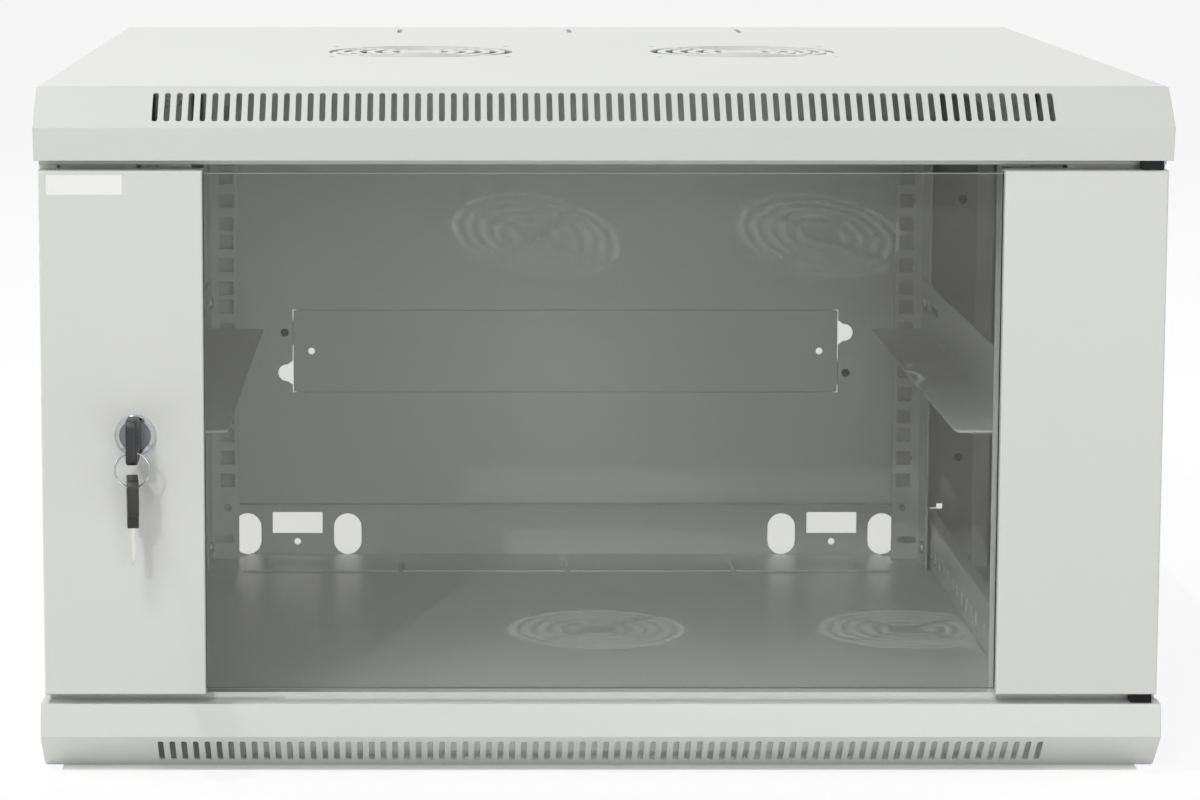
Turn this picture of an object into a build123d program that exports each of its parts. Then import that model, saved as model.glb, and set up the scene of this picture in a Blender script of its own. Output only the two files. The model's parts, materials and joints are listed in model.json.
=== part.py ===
from build123d import *
import os

# Wall mount network cabinet: two folded covers joined by a sheet steel frame, rack rails for 19 inch
# equipment, lift-off side panels and a glazed front door with a cam lock.
# X runs to the right, Y to the back and Z up. The origin is the middle of the underside.

# Whole cabinet
cabinet_width = 600.0
cabinet_depth = 600.0
cabinet_height = 368.0

# Top and bottom covers
cover_sheet = 1.2
cover_bend = 1.8
cover_corner = 1.5
fold_height = 20.5
slant_depth = 22.0
face_height = 17.5
face_lean = 3.0
ledge_depth = 13.5
lip_height = 3.2
skirt_height = 37.0

# Vent slots in the slanted faces
vent_from_side = 62.0
vent_pitch = 6.3
vent_width = 3.0
vent_length = 20.5

# Fan grilles in the top cover
fan_offset = 98.0
fan_from_front = 325.0
fan_ring_radii = (56.0, 47.0, 37.7, 28.2, 17.5)
fan_ring_slot = 4.6
fan_spoke = 4.5
fan_hole_spacing = 105.0
fan_hole_diameter = 4.5

# Narrow slots near the rear of both covers
tie_slot_offset = 113.4
tie_slot_length = 39.0
tie_slot_width = 3.0
tie_slot_from_rear = 47.5

# Cut-outs in the rear skirts of both covers
cable_slot_width = 19.0
cable_slot_height = 28.8
cable_slot_inner_from_side = 149.5
cable_slot_outer_from_side = 80.0
cable_slot_z = 16.6
brush_slot_width = 34.6
brush_slot_height = 14.8
brush_slot_z = 24.5
wall_hole_from_side = 114.7
wall_hole_diameter = 4.6
wall_hole_z = 11.3
corner_notch_inner_from_side = 46.7
corner_notch_step_from_side = 42.2
corner_notch_outer_from_side = 38.0
corner_notch_low = 34.4
corner_notch_line = 35.3

# Stiffeners on the floor and under the roof
stiffener_sheet = 1.2
stiffener_from_side = 80.0
stiffener_depth = 57.0

# Corner posts
post_sheet = 1.2
post_bend = 1.8
post_from_side = 10.8
post_side_depth = 38.0
post_lip = 12.0
post_setback = 0.8
front_post_inner_from_side = 52.5
rear_post_inner_from_side = 64.0
lock_window_from_side = 38.0
lock_window_margin = 5.0
foot_clearance = 0.4
post_foot_width = 25.0

# Studs of the covers and their nuts
stud_diameter = 5.0
stud_length = 8.0
stud_clearance = 0.2
stud_inset = 15.0
nut_across_flats = 8.0
nut_height = 4.0
thread_clearance = 0.05

# Side bars that carry the rails
bar_sheet = 1.2
bar_bend = 1.8
bar_from_side = 52.5
bar_height = 34.0
bar_flange = 8.5
bar_foot = 14.0
bar_slot_pitch = 21.3
bar_slot_middle_gap = 34.6
bar_slot_width = 6.0
bar_slot_height = 9.0
bar_slot_z = 14.2
bar_slot_end = 35.0

# Rack rails, with holes for 19 inch equipment, which are 465.1 mm apart
rack_unit_height = 44.45
rack_end_space = 50.0
rack_hole_from_side = 67.45
rack_hole_size = 9.5
rack_hole_heights = (6.35, 22.225, 38.1)
rack_notch = 2.0
rail_sheet = 1.5
rail_bend = 2.2
rail_inner_from_side = 75.0
rail_outer_from_side = 54.9
rail_flange_depth = 38.0
rail_screw_from_face = 20.6
rail_end_gap = 0.3
front_rail_slots_back = 4
rail_end_hole = 4.7
rail_end_hole_z = 37.8
rail_end_slot_length = 13.0
rail_end_slot_height = 4.7
rail_end_slot_from_side = 64.5
rail_end_slot_z = 15.4

# Screws of the rails and of the support angles
rail_screw_diameter = 5.0
rail_screw_clearance = 0.2
rail_head_diameter = 8.8
rail_head_height = 2.6
head_rounding = 0.45
screw_reach = 1.0
spacer_diameter = 10.0

# Support angles for shelves and heavy equipment
angle_sheet = 1.5
angle_bend = 2.2
angle_width = 37.0
angle_height = 35.5
angle_drop = 21.0
angle_end_gap = 14.5
angle_screw_from_face = 28.0
angle_corner = 6.0
angle_short_slot = 10.0
angle_short_slot_step = 17.0
angle_long_slot = 38.0
angle_long_slot_step = 48.0

# Rear wall and its cable cover plate
wall_sheet = 1.2
wall_from_side = 48.0
wall_hem = 8.0
wall_gap = 0.4
wall_screw_from_side = 56.0
wall_screw_margin = 40.0
wall_screw_diameter = 4.0
wall_screw_head = 7.0
wall_screw_head_height = 2.0
plate_sheet = 1.2
plate_opening_from_side = 112.0
plate_opening_height = 57.6
plate_opening_z = 145.1
plate_gap = 0.5
plate_backing = 8.0
plate_backing_gap = 3.0
plate_tab_reach = 12.0
plate_tab_height = 16.8
finger_notch_radius = 5.8
finger_notch_base = 17.0
finger_notch_waist = 11.0
finger_notch_flare = 4.0
finger_notch_reach = 10.0
left_notch_z = 130.0
right_notch_z = 158.0
plate_screw_from_opening = 5.5
plate_screw_diameter = 3.5
plate_screw_head = 5.6
plate_screw_head_height = 2.2
plate_hole_from_opening = 13.0
plate_hole_diameter = 4.7

# Side panels and their latches
panel_sheet = 1.0
panel_rest_gap = 0.3
panel_gap = 1.2
panel_recess = 1.0
panel_end_gap = 1.2
panel_tab_width = 40.0
panel_tab_drop = 8.0
panel_tab_spacing = 380.0
panel_tab_clearance = 0.3
latch_below_top = 25.0
latch_barrel = 12.0
latch_bezel = 20.0
latch_neck = 15.0
latch_neck_depth = 3.0
latch_cam_width = 11.0
latch_cam_sheet = 2.0
latch_cam_gap = 0.3
latch_engagement = 5.0
latch_notch = 45.0
latch_setback = 0.2
latch_slot_length = 9.6
latch_slot_width = 1.6
latch_slot_depth = 1.2
running_clearance = 0.05

# Door
door_sheet = 1.2
door_setback = 2.5
door_side_gap = 2.3
door_gap = 5.2
door_panel_width = 86.3
door_depth = 15.0
glass_thickness = 4.0
glass_cover = 13.1
glass_end_gap = 1.0
gasket_wall = 0.8
gasket_end_wall = 1.5
gasket_from_front = 4.8
door_edge = 1.0
door_bend = 1.8

# Door hinges
hinge_from_side = 10.0
hinge_from_front = 10.0
hinge_pin_diameter = 6.0
hinge_block_width = 11.0
hinge_block_depth = 9.0
hinge_block_gap = 0.3
hinge_pin_reach = 9.0
bush_diameter = 8.0
bush_flange = 12.0
bush_flange_height = 1.5
bush_length = 9.0
bolt_length = 36.0
bolt_engagement = 4.4
bolt_collar = 9.0
bolt_collar_height = 2.0
bolt_collar_from_top = 14.5
bolt_grip_diameter = 3.0
bolt_grip_reach = 2.1
bolt_grip_from_end = 3.0
bolt_travel = 8.0
bolt_slot_margin = 1.0
guide_sheet = 1.5
guide_from_end = 6.5
guide_width = 11.0
spring_outer = 8.6
spring_clearance = 0.3

# Cam lock
lock_from_edge = 49.9
lock_bezel = 22.0
lock_bezel_height = 2.2
lock_bezel_chamfer = 0.9
lock_body = 18.5
lock_body_clearance = 0.1
lock_rotor_head = 16.4
lock_rotor_head_depth = 4.0
lock_rotor = 12.0
lock_rotor_setback = 0.6
lock_nut_flats = 24.0
lock_nut_height = 4.0
lock_nut_window = 30.0
cam_sheet = 2.5
cam_width = 13.0
cam_hub = 18.2
cam_reach = 30.0
cam_square = 8.0
cam_gap = 0.4
cam_screw_head = 9.0
cam_screw_head_height = 2.5
cam_screw_diameter = 4.0
cam_screw_length = 4.5

# Keys on their ring
key_blade_width = 7.0
key_blade_thickness = 2.1
key_blade_length = 20.8
key_blade_clearance = 0.1
key_tongue = 8.0
key_notch_depth = 1.2
key_notches = ((0, 4.2), (1, 5.8), (0, 7.9), (1, 10.4), (1, 11.6), (0, 13.7), (1, 15.8), (0, 17.5))
key_tip_bevel = 2.9
key_head_width = 24.0
key_head_length = 20.0
key_head_thickness = 6.0
key_head_corner = 4.0
key_neck_width = 12.0
key_neck_length = 6.2
key_head_gap = 0.5
key_slot_width = 6.0
key_slot_height = 14.2
key_slot_wall = 4.6
key_slot_corner = 2.4
key_tip_gap = 0.5
ring_radius = 9.5
ring_wire = 1.2
ring_seat = 0.1
spare_key_turn = 6.0

# Places worked out from the sizes above
front_y = -cabinet_depth / 2
rear_y = cabinet_depth / 2
side_x = cabinet_width / 2
middle_z = cabinet_height / 2
middle_plane = Plane.XY.offset(middle_z)
cover_height = fold_height + face_height
vent_count = int((cabinet_width - 2 * vent_from_side) / vent_pitch) + 1
cable_slot_inner = side_x - cable_slot_inner_from_side
cable_slot_outer = side_x - cable_slot_outer_from_side
wall_hole_offset = side_x - wall_hole_from_side
corner_notch_inner = side_x - corner_notch_inner_from_side
corner_notch_step = side_x - corner_notch_step_from_side
corner_notch_outer = side_x - corner_notch_outer_from_side
stiffener_width = cabinet_width - 2 * stiffener_from_side
post_outer = side_x - post_from_side
front_post_inner = side_x - front_post_inner_from_side
rear_post_inner = side_x - rear_post_inner_from_side
lock_window_outer = side_x - lock_window_from_side
bar_inner = side_x - bar_from_side
rail_inner = side_x - rail_inner_from_side
rail_outer = side_x - rail_outer_from_side
rail_end_slot_x = side_x - rail_end_slot_from_side
ledge_front_y = front_y + face_lean
ledge_back_y = ledge_front_y + ledge_depth
slant_length = (slant_depth ** 2 + fold_height ** 2) ** 0.5
slant_inset = cover_sheet * (slant_length - slant_depth) / fold_height
roof_z = cabinet_height - cover_sheet
post_front_y = front_y + slant_depth + post_setback
post_rear_y = rear_y - cover_sheet
foot_inner_x = bar_inner + bar_foot + foot_clearance
stud_x = foot_inner_x + post_foot_width - stud_inset
front_stud_y = post_front_y + post_side_depth / 2
rear_stud_y = post_rear_y - post_side_depth / 2
bar_front_y = post_front_y + post_sheet
bar_rear_y = post_rear_y - post_sheet
bar_length = bar_rear_y - bar_front_y
bar_middle_y = (bar_front_y + bar_rear_y) / 2
bar_slots_each_end = int((bar_length / 2 - bar_slot_middle_gap / 2 - bar_slot_end) / bar_slot_pitch) + 1
first_bar_slot = bar_slot_middle_gap / 2
rear_rail_screw_y = bar_middle_y + first_bar_slot + (bar_slots_each_end - 1) * bar_slot_pitch
front_rail_slot = bar_slots_each_end - 1 - front_rail_slots_back
front_rail_screw_y = bar_middle_y - first_bar_slot - front_rail_slot * bar_slot_pitch
rear_rail_y = rear_rail_screw_y + rail_screw_from_face
front_rail_y = front_rail_screw_y - rail_screw_from_face
rail_mirror_plane = Plane.XZ.offset(-(rear_rail_y + front_rail_y) / 2)
rail_bottom_z = cover_sheet + rail_end_gap
rail_height = cabinet_height - 2 * rail_bottom_z
rack_units = int((cabinet_height - 2 * rack_end_space) / rack_unit_height)
rack_bottom_z = middle_z - rack_units * rack_unit_height / 2
rack_hole_x = side_x - rack_hole_from_side
angle_outer_x = rail_outer - rail_sheet
angle_z = middle_z - angle_drop
angle_front_y = front_rail_y + angle_end_gap
angle_rear_y = rear_rail_y - angle_end_gap
angle_front_screw_y = front_rail_y + angle_screw_from_face
angle_rear_screw_y = rear_rail_y - angle_screw_from_face
wall_front_y = post_rear_y - post_sheet - wall_sheet
wall_bottom_z = skirt_height + wall_gap
wall_height = cabinet_height - 2 * wall_bottom_z
wall_screw_step = wall_height / 2 - wall_screw_margin
wall_half_width = side_x - wall_from_side
wall_screw_x = side_x - wall_screw_from_side
plate_opening_width = cabinet_width - 2 * plate_opening_from_side
plate_screw_offset = plate_opening_width / 2 + plate_screw_from_opening
plate_hole_offset = plate_opening_width / 2 - plate_hole_from_opening
finger_notch_x = plate_opening_width / 2 + finger_notch_reach - finger_notch_radius
panel_outer_x = side_x - panel_recess
panel_return = panel_outer_x - post_outer - panel_rest_gap
panel_bottom_z = skirt_height + panel_gap
panel_height = cabinet_height - 2 * panel_bottom_z
panel_front_y = post_front_y - panel_end_gap
panel_rear_y = rear_y - panel_end_gap
panel_length = panel_rear_y - panel_front_y
panel_middle_y = (panel_front_y + panel_rear_y) / 2
latch_z = panel_bottom_z + panel_height - latch_below_top
latch_cam_reach = latch_below_top + panel_gap + latch_engagement
latch_cam_x = panel_outer_x - latch_neck_depth - latch_cam_gap
door_front_y = front_y + door_setback
door_back_y = door_front_y + door_depth
door_outer_x = side_x - door_side_gap
door_inner_x = door_outer_x - door_panel_width
door_bottom_z = cover_height + door_gap
door_height = cabinet_height - 2 * door_bottom_z
gasket_front_y = door_front_y + gasket_from_front
glass_front_y = gasket_front_y + gasket_wall
glass_back_y = glass_front_y + glass_thickness
gasket_back_y = glass_back_y + gasket_wall
glass_half_width = door_inner_x + glass_cover
glass_bottom_z = door_bottom_z + door_sheet + glass_end_gap
glass_height = cabinet_height - 2 * glass_bottom_z
hinge_x = side_x - hinge_from_side
hinge_y = front_y + hinge_from_front
hinge_block_height = door_gap - hinge_block_gap
lock_x = -(door_outer_x - lock_from_edge)
cam_front_y = post_front_y + post_sheet + cam_gap
lock_window_half = cam_reach + lock_window_margin
lock_bezel_y = door_front_y - lock_bezel_height
rotor_front_y = lock_bezel_y + lock_rotor_setback
key_head_y = lock_bezel_y - key_head_gap
key_full_head = key_head_length + key_neck_length
key_slot_y = key_full_head - key_slot_wall - key_slot_width / 2
ring_y = key_head_y - key_slot_y
ring_inside = ((ring_radius - ring_wire / 2) ** 2 - (key_head_thickness / 2) ** 2) ** 0.5 - ring_seat
ring_z = middle_z - key_slot_height / 2 - ring_inside
spare_key_z = ring_z - ring_inside - key_slot_width / 2 - key_slot_y
door_top_z = door_bottom_z + door_height
bolt_top_z = door_top_z + hinge_block_gap + bolt_engagement
bolt_bottom_z = bolt_top_z - bolt_length
bolt_grip_z = bolt_bottom_z + bolt_grip_from_end
guide_z = bolt_bottom_z + guide_from_end
collar_z = bolt_top_z - bolt_collar_from_top - bolt_collar_height


def folded_sheet(points, thickness, bend):
    """Section of a sheet folded along a line, with its thickness on the left of that line."""
    with BuildSketch() as section:
        with BuildLine():
            FilletPolyline(*points, radius=bend)
            offset(amount=thickness, side=Side.LEFT)
        make_face()
    return section.sketch


def pan_head_screw(diameter, length, head_diameter, head_height):
    """Screw along Z, its head above Z = 0 and its shank below."""
    with BuildPart() as screw:
        Cylinder(head_diameter / 2, head_height, align=(Align.CENTER, Align.CENTER, Align.MIN))
        fillet(screw.edges().sort_by(Axis.Z)[-1], radius=head_height * head_rounding)
        Cylinder(diameter / 2, length, align=(Align.CENTER, Align.CENTER, Align.MAX))
    return screw.part


def hex_nut(across_flats, bore, height):
    """Hexagon nut standing on Z = 0."""
    with BuildPart() as nut:
        with BuildSketch():
            RegularPolygon(across_flats / 2, 6, major_radius=False)
            Circle(bore / 2, mode=Mode.SUBTRACT)
        extrude(amount=height)
    return nut.part


def facing(point, normal):
    """Place at a point whose Z runs along the normal."""
    return Plane(origin=point, z_dir=normal).location


def corner_notch(side):
    """Stepped notch in a rear corner, on the right for side 1 and on the left for side -1."""
    with BuildSketch() as notch:
        with BuildLine():
            Polyline(
                (side * corner_notch_inner, corner_notch_low),
                (side * corner_notch_outer, corner_notch_low),
                (side * corner_notch_outer, skirt_height + cover_sheet),
                (side * corner_notch_step, skirt_height + cover_sheet),
                (side * corner_notch_step, corner_notch_line),
                (side * corner_notch_inner, corner_notch_line),
                close=True,
            )
        make_face()
    return notch.sketch


def finger_notch_flares(side, notch_z):
    """Flared mouth of a finger notch, on the right for side 1 and on the left for side -1."""
    with BuildSketch() as flares:
        with BuildLine():
            Polyline(
                (side * plate_opening_width / 2, notch_z - finger_notch_base / 2),
                (side * (plate_opening_width / 2 + finger_notch_flare), notch_z - finger_notch_waist / 2),
                (side * (plate_opening_width / 2 + finger_notch_flare), notch_z + finger_notch_waist / 2),
                (side * plate_opening_width / 2, notch_z + finger_notch_base / 2),
                close=True,
            )
        make_face()
    return flares.sketch


# Bottom cover: a tray with a slanted slotted face, a ledge and a lip behind the door
with BuildPart() as bottom_cover:
    with BuildSketch(Plane.YZ):
        with BuildLine():
            Polyline(
                (ledge_front_y, cover_height),
                (front_y, fold_height),
                (front_y + slant_depth, 0),
                (rear_y, 0),
                (rear_y, skirt_height),
                (ledge_back_y, skirt_height),
                (ledge_back_y, cover_height),
                close=True,
            )
        make_face()
    extrude(amount=side_x, both=True)
    cover_ends = bottom_cover.faces().filter_by(Axis.X).edges().group_by(Axis.Z)
    fillet(cover_ends[0].filter_by(Axis.Y), radius=cover_corner)
    with BuildSketch(Plane.YZ):
        with BuildLine():
            Polyline(
                (ledge_front_y + cover_sheet, cover_height + lip_height),
                (ledge_front_y + cover_sheet, cover_height),
                (front_y + cover_sheet, fold_height),
                (front_y + slant_depth + slant_inset, cover_sheet),
                (rear_y - cover_sheet, cover_sheet),
                (rear_y - cover_sheet, cover_height + lip_height),
                close=True,
            )
        make_face()
    extrude(amount=side_x - cover_sheet, both=True, mode=Mode.SUBTRACT)
    with BuildSketch(Plane.YZ):
        add(
            folded_sheet(
                (
                    (ledge_back_y, cover_height + lip_height),
                    (ledge_back_y, cover_height),
                    (ledge_front_y, cover_height),
                ),
                cover_sheet,
                cover_bend,
            )
        )
    extrude(amount=side_x - cover_sheet, both=True)
    slanted_face = Plane(
        origin=(0, front_y + slant_depth / 2, fold_height / 2),
        x_dir=(1, 0, 0),
        z_dir=(0, -fold_height, -slant_depth),
    )
    with BuildSketch(slanted_face):
        with GridLocations(vent_pitch, 1, vent_count, 1):
            SlotOverall(vent_length, vent_width, rotation=90)
    extrude(amount=-2 * cover_sheet, mode=Mode.SUBTRACT)
    with BuildSketch(Plane.XY):
        with Locations((0, rear_y - tie_slot_from_rear)):
            with GridLocations(tie_slot_offset, 1, 3, 1):
                SlotOverall(tie_slot_length, tie_slot_width, rotation=90)
    extrude(amount=cover_sheet, mode=Mode.SUBTRACT)
    with BuildSketch(Plane.XZ.offset(-rear_y)):
        for side in (-1, 1):
            with Locations((side * cable_slot_inner, cable_slot_z), (side * cable_slot_outer, cable_slot_z)):
                SlotOverall(cable_slot_height, cable_slot_width, rotation=90)
            with Locations((side * wall_hole_offset, brush_slot_z)):
                Rectangle(brush_slot_width, brush_slot_height)
            with Locations((side * wall_hole_offset, wall_hole_z)):
                Circle(wall_hole_diameter / 2)
            add(corner_notch(side))
    extrude(amount=cover_sheet, mode=Mode.SUBTRACT)
    with Locations(
        *[(side * stud_x, stud_y, cover_sheet) for side in (-1, 1) for stud_y in (front_stud_y, rear_stud_y)]
    ):
        Cylinder(stud_diameter / 2, stud_length, align=(Align.CENTER, Align.CENTER, Align.MIN))

# Top cover: the same tray turned over, with two fan grilles in its roof
with BuildPart() as top_cover:
    mirror(bottom_cover.part, about=middle_plane)
    with BuildSketch(Plane.XY.offset(cabinet_height)):
        with Locations((-fan_offset, front_y + fan_from_front), (fan_offset, front_y + fan_from_front)):
            for ring in fan_ring_radii:
                Circle(ring)
                Circle(ring - fan_ring_slot, mode=Mode.SUBTRACT)
            Rectangle(3 * fan_ring_radii[0], fan_spoke, rotation=45, mode=Mode.SUBTRACT)
            Rectangle(3 * fan_ring_radii[0], fan_spoke, rotation=-45, mode=Mode.SUBTRACT)
            with GridLocations(fan_hole_spacing, fan_hole_spacing, 2, 2):
                Circle(fan_hole_diameter / 2)
    extrude(amount=-cover_sheet, mode=Mode.SUBTRACT)

# Stiffener strips along the rear edge of the floor and the roof
with BuildPart() as floor_stiffener:
    with BuildSketch(Plane.XY.offset(cover_sheet)):
        with Locations((0, post_rear_y - stiffener_depth / 2)):
            Rectangle(stiffener_width, stiffener_depth)
        with Locations((0, rear_y - tie_slot_from_rear)):
            with GridLocations(tie_slot_offset, 1, 3, 1):
                SlotOverall(tie_slot_length, tie_slot_width, rotation=90, mode=Mode.SUBTRACT)
    extrude(amount=stiffener_sheet)

with BuildPart() as roof_stiffener:
    mirror(floor_stiffener.part, about=middle_plane)

# Corner posts: folded channels with a foot plate at each end
with BuildPart() as front_post_right:
    with BuildSketch(Plane.XY.offset(cover_sheet)):
        add(
            folded_sheet(
                (
                    (front_post_inner, post_front_y),
                    (post_outer, post_front_y),
                    (post_outer, post_front_y + post_side_depth),
                    (post_outer - post_lip, post_front_y + post_side_depth),
                ),
                post_sheet,
                post_bend,
            )
        )
    extrude(amount=roof_z - cover_sheet)
    with BuildSketch(Plane.XZ.offset(-post_front_y)):
        with Locations((lock_window_outer, middle_z)):
            Rectangle(
                lock_window_outer - front_post_inner + cover_sheet,
                2 * lock_window_half,
                align=(Align.MAX, Align.CENTER),
            )
    extrude(amount=-post_sheet, mode=Mode.SUBTRACT)
    with BuildSketch(Plane.XY.offset(cover_sheet)):
        with Locations((foot_inner_x, post_front_y + post_sheet)):
            Rectangle(post_foot_width, post_side_depth - 2 * post_sheet, align=(Align.MIN, Align.MIN))
        with Locations((stud_x, front_stud_y)):
            Circle(stud_diameter / 2 + stud_clearance, mode=Mode.SUBTRACT)
    extrude(amount=post_sheet)
    mirror(front_post_right.part, about=middle_plane)

with BuildPart() as front_post_left:
    mirror(front_post_right.part, about=Plane.YZ)

with BuildPart() as post_notch:
    with BuildSketch(Plane.XZ.offset(-post_rear_y)):
        add(corner_notch(1))
    extrude(amount=post_sheet)
    mirror(post_notch.part, about=middle_plane)

with BuildPart() as rear_post_right:
    with BuildSketch(Plane.XY.offset(cover_sheet)):
        add(
            folded_sheet(
                (
                    (post_outer - post_lip, post_rear_y - post_side_depth),
                    (post_outer, post_rear_y - post_side_depth),
                    (post_outer, post_rear_y),
                    (rear_post_inner, post_rear_y),
                ),
                post_sheet,
                post_bend,
            )
        )
    extrude(amount=roof_z - cover_sheet)
    with BuildSketch(Plane.XZ.offset(-post_rear_y)):
        with Locations(*[(wall_screw_x, middle_z + row * wall_screw_step) for row in (-1, 0, 1)]):
            Circle(wall_screw_diameter / 2 + stud_clearance)
    extrude(amount=post_sheet, mode=Mode.SUBTRACT)
    with BuildSketch(Plane.XY.offset(cover_sheet)):
        with Locations((foot_inner_x, post_rear_y - post_sheet)):
            Rectangle(post_foot_width, post_side_depth - 2 * post_sheet, align=(Align.MIN, Align.MAX))
        with Locations((stud_x, rear_stud_y)):
            Circle(stud_diameter / 2 + stud_clearance, mode=Mode.SUBTRACT)
    extrude(amount=post_sheet)
    mirror(rear_post_right.part, about=middle_plane)
    add(post_notch.part, mode=Mode.SUBTRACT)

with BuildPart() as rear_post_left:
    mirror(rear_post_right.part, about=Plane.YZ)

with BuildPart() as frame_nuts:
    stud_nut = hex_nut(nut_across_flats, stud_diameter + 2 * thread_clearance, nut_height)
    with Locations(
        *[
            (side * stud_x, stud_y, cover_sheet + post_sheet)
            for side in (-1, 1)
            for stud_y in (front_stud_y, rear_stud_y)
        ]
    ):
        add(stud_nut)
    mirror(frame_nuts.part, about=middle_plane)

# Side bars: slotted channels between the posts
with BuildPart() as side_bar_lower_right:
    with BuildSketch(Plane.XZ.offset(-bar_rear_y)):
        add(
            folded_sheet(
                (
                    (bar_inner + bar_flange, bar_height),
                    (bar_inner, bar_height),
                    (bar_inner, cover_sheet),
                    (bar_inner + bar_foot, cover_sheet),
                ),
                bar_sheet,
                bar_bend,
            )
        )
    extrude(amount=bar_length)
    with BuildSketch(Plane.YZ.offset(bar_inner)):
        for slot in range(bar_slots_each_end):
            slot_offset = first_bar_slot + slot * bar_slot_pitch
            with Locations(*[(bar_middle_y + end * slot_offset, bar_slot_z) for end in (-1, 1)]):
                Rectangle(bar_slot_width, bar_slot_height)
    extrude(amount=bar_sheet, mode=Mode.SUBTRACT)

with BuildPart() as side_bar_lower_left:
    mirror(side_bar_lower_right.part, about=Plane.YZ)

with BuildPart() as side_bar_upper_right:
    mirror(side_bar_lower_right.part, about=middle_plane)

with BuildPart() as side_bar_upper_left:
    mirror(side_bar_upper_right.part, about=Plane.YZ)

# Rack rails: square holes in the face, screw holes in the side flange
with BuildPart() as rack_rail_rear_right:
    with BuildSketch(Plane.XY.offset(rail_bottom_z)):
        add(
            folded_sheet(
                (
                    (rail_outer, rear_rail_y - rail_flange_depth),
                    (rail_outer, rear_rail_y + rail_sheet),
                    (rail_inner, rear_rail_y + rail_sheet),
                ),
                rail_sheet,
                rail_bend,
            )
        )
    extrude(amount=rail_height)
    with BuildSketch(Plane.XZ.offset(-rear_rail_y)):
        for unit in range(rack_units):
            for hole_height in rack_hole_heights:
                with Locations((rack_hole_x, rack_bottom_z + unit * rack_unit_height + hole_height)):
                    Rectangle(rack_hole_size, rack_hole_size)
            unit_middle_z = rack_bottom_z + (unit + 0.5) * rack_unit_height
            with Locations((rack_hole_x + rack_hole_size / 2, unit_middle_z)):
                Rectangle(rack_notch, rack_notch, rotation=45)
        for end_hole_z in (rail_end_hole_z, cabinet_height - rail_end_hole_z):
            with Locations((rack_hole_x, end_hole_z)):
                Circle(rail_end_hole / 2)
        for end_slot_z in (rail_end_slot_z, cabinet_height - rail_end_slot_z):
            with Locations((rail_end_slot_x, end_slot_z)):
                Rectangle(rail_end_slot_length, rail_end_slot_height)
    extrude(amount=-rail_sheet, mode=Mode.SUBTRACT)
    with BuildSketch(Plane.YZ.offset(angle_outer_x)):
        with Locations(
            (rear_rail_screw_y, bar_slot_z),
            (rear_rail_screw_y, cabinet_height - bar_slot_z),
            (angle_rear_screw_y, middle_z),
        ):
            Circle(rail_screw_diameter / 2 + rail_screw_clearance)
    extrude(amount=rail_sheet, mode=Mode.SUBTRACT)

with BuildPart() as rack_rail_rear_left:
    mirror(rack_rail_rear_right.part, about=Plane.YZ)

with BuildPart() as rack_rail_front_right:
    mirror(rack_rail_rear_right.part, about=rail_mirror_plane)

with BuildPart() as rack_rail_front_left:
    mirror(rack_rail_front_right.part, about=Plane.YZ)

rail_screw_places = [
    (side, screw_y, screw_z)
    for side in (-1, 1)
    for screw_y in (front_rail_screw_y, rear_rail_screw_y)
    for screw_z in (bar_slot_z, cabinet_height - bar_slot_z)
]
rail_grip = bar_inner + bar_sheet - angle_outer_x


def screw_places(places, x, inwards):
    """Places on both sides at a distance X from the middle, that face inwards or outwards."""
    return [facing((side * x, y, z), (-side if inwards else side, 0, 0)) for side, y, z in places]


with BuildPart() as rail_screws:
    rail_screw = pan_head_screw(
        rail_screw_diameter, rail_grip + nut_height + screw_reach, rail_head_diameter, rail_head_height
    )
    with Locations(*screw_places(rail_screw_places, angle_outer_x, True)):
        add(rail_screw)

with BuildPart() as rail_spacers:
    with BuildSketch(Plane.XY) as spacer_section:
        Circle(spacer_diameter / 2)
        Circle(rail_screw_diameter / 2 + rail_screw_clearance, mode=Mode.SUBTRACT)
    spacer = extrude(spacer_section.sketch, amount=bar_inner - rail_outer, mode=Mode.PRIVATE)
    with Locations(*screw_places(rail_screw_places, rail_outer, False)):
        add(spacer)

with BuildPart() as rail_nuts:
    rail_nut = hex_nut(nut_across_flats, rail_screw_diameter + 2 * thread_clearance, nut_height)
    with Locations(*screw_places(rail_screw_places, bar_inner + bar_sheet, False)):
        add(rail_nut)

# Support angles, screwed to the side flanges of the rails
with BuildPart() as support_angle_right:
    with BuildSketch(Plane.XZ.offset(-angle_rear_y)):
        add(
            folded_sheet(
                (
                    (angle_outer_x - angle_width, angle_z),
                    (angle_outer_x, angle_z),
                    (angle_outer_x, angle_z + angle_height),
                ),
                angle_sheet,
                angle_bend,
            )
        )
    extrude(amount=angle_rear_y - angle_front_y)
    fillet(support_angle_right.edges().filter_by(Axis.Z).group_by(Axis.X)[0], radius=angle_corner)
    with BuildSketch(Plane.YZ.offset(angle_outer_x - angle_sheet)):
        with Locations((angle_front_screw_y, middle_z), (angle_rear_screw_y, middle_z)):
            Circle(rail_screw_diameter / 2 + rail_screw_clearance)
        for slot_length, slot_step in (
            (angle_short_slot, angle_short_slot_step),
            (angle_long_slot, angle_long_slot_step),
        ):
            with Locations(
                (angle_front_screw_y + slot_step, middle_z),
                (angle_rear_screw_y - slot_step, middle_z),
            ):
                SlotOverall(slot_length, rail_screw_diameter)
    extrude(amount=angle_sheet, mode=Mode.SUBTRACT)

with BuildPart() as support_angle_left:
    mirror(support_angle_right.part, about=Plane.YZ)

angle_inner_x = angle_outer_x - angle_sheet
support_screw_places = [
    (side, screw_y, middle_z) for side in (-1, 1) for screw_y in (angle_front_screw_y, angle_rear_screw_y)
]

with BuildPart() as support_screws:
    support_screw = pan_head_screw(
        rail_screw_diameter,
        angle_sheet + rail_sheet + nut_height + screw_reach,
        rail_head_diameter,
        rail_head_height,
    )
    with Locations(*screw_places(support_screw_places, angle_inner_x, True)):
        add(support_screw)

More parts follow.
